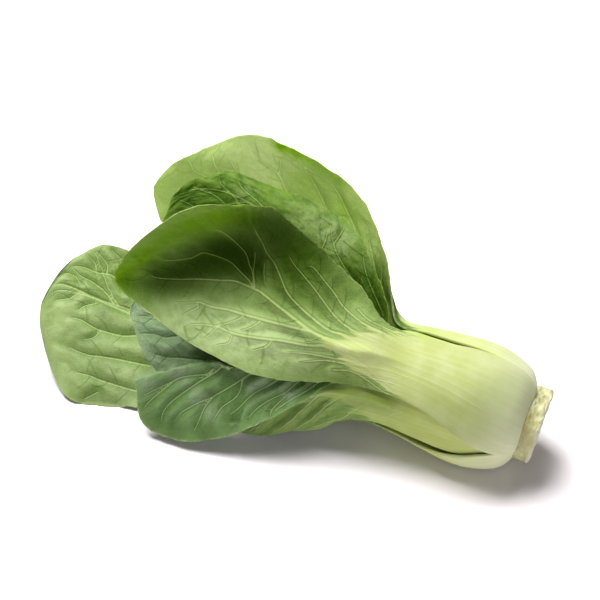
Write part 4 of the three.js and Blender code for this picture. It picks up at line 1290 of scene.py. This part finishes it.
def leaf_relief(tree, look, plane, nets, ridges):
    """The finest relief: grain, sunk nets, and veins that stand out on the outer face."""
    inside, pale = mark(tree, "inside"), mark(tree, "pale")
    height = sums(tree, "MULTIPLY", mottle(tree, plane, 1.1, 2.0), 0.35)
    height = sums(tree, "SUBTRACT", height, sums(tree, "MULTIPLY", nets[0], 0.4))
    height = sums(tree, "SUBTRACT", height, sums(tree, "MULTIPLY", nets[1], 0.2))
    lines = sums(tree, "MULTIPLY", ridges[0], 2.2)
    lines = sums(tree, "ADD", lines, sums(tree, "MULTIPLY", ridges[1], 1.4))
    lines = sums(tree, "MULTIPLY", lines, eased(tree, inside, 0, 1, 1.0, -0.7))
    height = sums(tree, "ADD", height, lines)
    height = sums(tree, "MULTIPLY", height, eased(tree, pale, 0, 1, 1.0, 0.2))
    bump = {"Height": height, "Strength": 0.65, "Distance": 0.00025}
    return add(tree, "ShaderNodeBump", bump).outputs[0]


def leaf_finish(name, look):
    finish, tree, out = new_finish(name + "_green")
    plane = add(tree, "ShaderNodeUVMap", uv_map="leaf_plane").outputs[0]
    inside, pale = mark(tree, "inside"), mark(tree, "pale")
    large, large_ridge, large_flank = vein_line(tree, "large")
    small, small_ridge, small_flank = vein_line(tree, "small")

    wander = add(tree, "ShaderNodeTexNoise", {"Vector": plane, "Scale": 40.0}).outputs["Color"]
    bent = {0: wander, 1: (0.02, 0.02, 0), 2: plane}
    bent = add(tree, "ShaderNodeVectorMath", bent, operation="MULTIPLY_ADD").outputs[0]
    nets = meshes(tree, bent, look["net"], 0.16), meshes(tree, bent, look["net"] * 0.4, 0.2)
    blade, deep = blade_green(tree, look, plane, nets)
    colour = mixed(tree, pale, blade, stalk_green(tree, look, plane))
    grooved = sums(tree, "MULTIPLY", mark(tree, "groove"), 0.95)
    colour = mixed(tree, grooved, colour, paint(*look["outer_deep"]))

    # The veins, with painted shade in a darker line beside each. Where small veins are darker than
    # the blade, that is painted shade in their grooves.
    shown = eased(tree, pale, 0.0, 1.0, look["vein_show"], 0.15)
    beside = sums(tree, "MULTIPLY", sums(tree, "MAXIMUM", large_flank, small_flank), shown)
    colour = mixed(tree, sums(tree, "MULTIPLY", beside, 0.7), colour, deep)
    faint = sums(tree, "MULTIPLY", small, sums(tree, "MULTIPLY", shown, 0.6))
    colour = mixed(tree, faint, colour, paint(*look["small_vein"]))
    veined = sums(tree, "MULTIPLY", large, shown)
    colour = mixed(tree, veined, colour, paint(*look["vein"]))

    # The light that a thin blade lets through has the same patches of painted shade and painted
    # backlight as the colour.
    glow = mixed(tree, 0.5, colour, paint(*look["glow"]))
    colour, glow = shaded(tree, colour, veined), shaded(tree, glow, veined)

    gloss = eased(tree, mottle(tree, plane, 4, 3.0), 0.3, 0.7, -0.06, 0.08)
    rough = eased(tree, inside, 0, 1, look["rough"][0], look["rough"][1])
    relief = leaf_relief(tree, look, plane, nets, (large_ridge, small_ridge))
    skin = add(tree, "ShaderNodeBsdfPrincipled", {
        "Base Color": colour, "Roughness": sums(tree, "ADD", rough, gloss), "Normal": relief,
        "IOR": 1.4, "Specular IOR Level": look["shine"],
        "Coat Weight": look["wax"], "Coat Roughness": 0.3,
        "Subsurface Weight": 0.12, "Subsurface Scale": 0.002,
    })
    skin.inputs["Subsurface Radius"].default_value = (0.8, 1.0, 0.3)
    through = add(tree, "ShaderNodeBsdfTranslucent", {"Color": glow, "Normal": relief})
    thin = eased(tree, pale, 0, 1, look["thin"], 0.0)
    both = add(tree, "ShaderNodeMixShader", {0: thin, 1: skin.outputs[0], 2: through.outputs[0]})
    tree.links.new(both.outputs[0], out.inputs["Surface"])
    return finish


def stump_finish():
    finish, tree, out = new_finish("stump_flesh")
    place = add(tree, "ShaderNodeTexCoord").outputs["Object"]
    place = add(tree, "ShaderNodeVectorMath", {0: place, 3: 10.0}, operation="SCALE").outputs[0]
    cloudy = eased(tree, mottle(tree, place, 3.5, 4.0), 0.42, 0.68)
    specks = eased(tree, mottle(tree, place, 0.9, 3.0), 0.55, 0.75)
    colour = mixed(tree, cloudy, paint(184, 184, 140), paint(174, 171, 116))
    tints = [
        (specks, 0.35, (120, 104, 54)),
        (mark(tree, "torn"), 0.65, (112, 94, 48)),
        (mark(tree, "ring"), 0.6, (190, 188, 162)),
        (mark(tree, "cut"), 0.6, (196, 194, 178)),
        (mark(tree, "scar"), 0.85, (146, 132, 58)),
    ]
    for cover, strength, tint in tints:
        colour = mixed(tree, sums(tree, "MULTIPLY", cover, strength), colour, paint(*tint))
    fibres = sums(tree, "MULTIPLY", mark(tree, "torn"), 0.5)
    height = sums(tree, "ADD", mottle(tree, place, 1.2, 4.0), fibres)
    relief = add(tree, "ShaderNodeBump", {"Height": height, "Strength": 0.7, "Distance": 0.0005})
    flesh = add(tree, "ShaderNodeBsdfPrincipled", {
        "Base Color": colour, "Roughness": 0.6, "Normal": relief.outputs[0],
        "Subsurface Weight": 0.15, "Subsurface Scale": 0.002,
    })
    tree.links.new(flesh.outputs[0], out.inputs["Surface"])
    return finish


# The stump: the cut face, its torn wall and the cone inside that the leaves grow from.
STUMP_PROFILE = [
    [0, 0.5], [4, 0.45], [9, 0.2], [13, 0.05], [15.6, 0], [16.8, 0.3], [17.4, 1.0], [17.5, 2.2],
    [17.2, 4], [17.3, 6], [17.6, 7.6], [17.2, 8.6], [15, 9.4], [8, 11], [4.5, 15], [1.6, 19], [0, 21],
]

# Scars where a leaf was torn off, [s, q, w, radius].
SCARS = [[7.5, 4, 17, 3.4], [8, -2, 17, 3.6], [7, -7, 16, 2.6], [8, -16, 6, 2.4]]


def turned_profile():
    """The stump's profile, spun round the Z axis."""
    body = bmesh.new()
    profile = through_points(STUMP_PROFILE, 0.6)
    profile[0, 0] = profile[-1, 0] = 0
    verts = [body.verts.new((max(r, 0), 0, s)) for r, s in profile]
    edges = [body.edges.new(pair) for pair in zip(verts, verts[1:])]
    bmesh.ops.spin(
        body, geom=verts + edges, cent=(0, 0, 0), axis=(0, 0, 1), steps=150,
        angle=2 * math.pi, use_merge=True,
    )
    bmesh.ops.remove_doubles(body, verts=body.verts[:], dist=1e-4)
    return body


def make_stump():
    body = turned_profile()
    spots = np.array([vert.co[:] for vert in body.verts])
    radius = np.hypot(spots[:, 0], spots[:, 1])
    angle = np.arctan2(spots[:, 1], spots[:, 0])
    s = spots[:, 2]
    round_it = angle * 17
    rough = np.where(s < 6.9, 0.025 * np.sin(5 * angle + 1) + 0.02 * np.sin(9 * angle), 0)
    seam = smooth(0.8, 1, np.abs(angle) / math.pi)
    torn = fold_noise(round_it, s * 1.6, 2.6, 31) * (1 - seam)
    torn = torn + fold_noise(np.cos(angle) * 40, s * 1.6, 2.6, 33) * seam
    wall = smooth(13, 16.5, radius) * (1 - smooth(6.0, 7.4, s))
    radius_new = radius * (1 + rough) + 0.8 * torn * wall
    ripple = 0.25 * fold_noise(spots[:, 0], spots[:, 1], 3.2, 35) * (s < 2) * (1 - wall)
    s_new = s + ripple + 0.7 * fold_noise(round_it, s, 4.0, 37) * wall * (s < 1.5)
    places = place(np.stack([s_new, radius_new * np.cos(angle), radius_new * np.sin(angle)], axis=1))
    places[:, 2] = np.maximum(places[:, 2], 0.1)
    for vert, spot in zip(body.verts, places * MM):
        vert.co = spot
    mesh = finished_mesh(body, "stump_flesh")

    cut = (s < 1.2).astype(float)
    ring = np.exp(-(((radius - 11.5 - 0.6 * np.sin(7 * angle)) / 0.9) ** 2)) * cut
    scar = np.zeros(len(s))
    smooth_spots = np.stack([s, radius * np.cos(angle), radius * np.sin(angle)], axis=1)
    uneven = 0.7 + 0.5 * fold_noise(round_it, s * 2, 2, 39)
    for spot in SCARS:
        away = ((smooth_spots - spot[:3]) ** 2).sum(1)
        scar = np.maximum(scar, np.exp(-away / spot[3] ** 2) * uneven)
    torn = smooth(0.25, 0.9, torn * wall)
    give_values(mesh, {"torn": torn, "cut": cut, "ring": ring, "scar": scar})
    piece = bpy.data.objects.new("stump_flesh", mesh)
    bpy.context.collection.objects.link(piece)
    mesh.materials.append(stump_finish())
    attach(piece, "root")
    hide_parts("stump")


# Camera, table top and light

SEEN = Vector((5.84, -10.5, 67.8)) * MM
SIDE = math.radians(19)
ABOVE = math.radians(42)
BACK = Vector((
    math.sin(SIDE) * math.cos(ABOVE), -math.cos(SIDE) * math.cos(ABOVE), math.sin(ABOVE),
))


def make_camera():
    lens = bpy.data.cameras.new("camera")
    lens.lens = 130.43
    lens.sensor_width = 36
    camera = bpy.data.objects.new("camera", lens)
    camera.location = SEEN + BACK
    camera.rotation_euler = BACK.to_track_quat("Z", "Y").to_euler()
    bpy.context.collection.objects.link(camera)
    bpy.context.scene.camera = camera


def make_table_top():
    top = bmesh.new()
    bmesh.ops.create_grid(top, x_segments=1, y_segments=1, size=6)
    bmesh.ops.translate(top, verts=top.verts[:], vec=(0, 0, -0.0002))
    mesh = bpy.data.meshes.new("table_top")
    top.to_mesh(mesh)
    top.free()
    finish, tree, out = new_finish("table_white")
    matt = add(tree, "ShaderNodeBsdfPrincipled", {
        "Base Color": (0.9, 0.85, 0.88, 1), "Roughness": 0.9, "Specular IOR Level": 0.1,
    })
    tree.links.new(matt.outputs[0], out.inputs["Surface"])
    mesh.materials.append(finish)
    floor = bpy.data.objects.new("table_top", mesh)
    bpy.context.collection.objects.link(floor)


# The lights: name, direction from the head, distance and size in metres, and power in watts.
LAMPS = [
    ("window_light", (-0.28, 0.14, 0.92), 1.2, 0.8, 33.3),
    ("front_light", (-0.4, -0.85, 0.36), 1.6, 1.2, 2),
    ("right_light", (0.65, -0.6, 0.45), 1.3, 0.9, 3.5),
]


def make_light(name, toward, distance, size, power):
    lamp = bpy.data.lights.new(name, "AREA")
    lamp.size = size
    lamp.energy = power
    light = bpy.data.objects.new(name, lamp)
    direction = Vector(toward).normalized()
    light.location = Vector((0, 0, 0.04)) + direction * distance
    light.rotation_euler = direction.to_track_quat("Z", "Y").to_euler()
    bpy.context.collection.objects.link(light)


def light_scene():
    world = bpy.data.worlds.new("studio")
    world.use_nodes = True
    world.node_tree.nodes["Background"].inputs["Color"].default_value = (1, 1, 1, 1)
    world.node_tree.nodes["Background"].inputs["Strength"].default_value = 0.045
    bpy.context.scene.world = world
    for lamp in LAMPS:
        make_light(*lamp)
    bpy.context.scene.view_settings.view_transform = "Standard"


make_camera()
make_table_top()
light_scene()
make_stump()
for leaf in LEAVES:
    make_leaf(leaf, LOOKS[leaf["name"]])
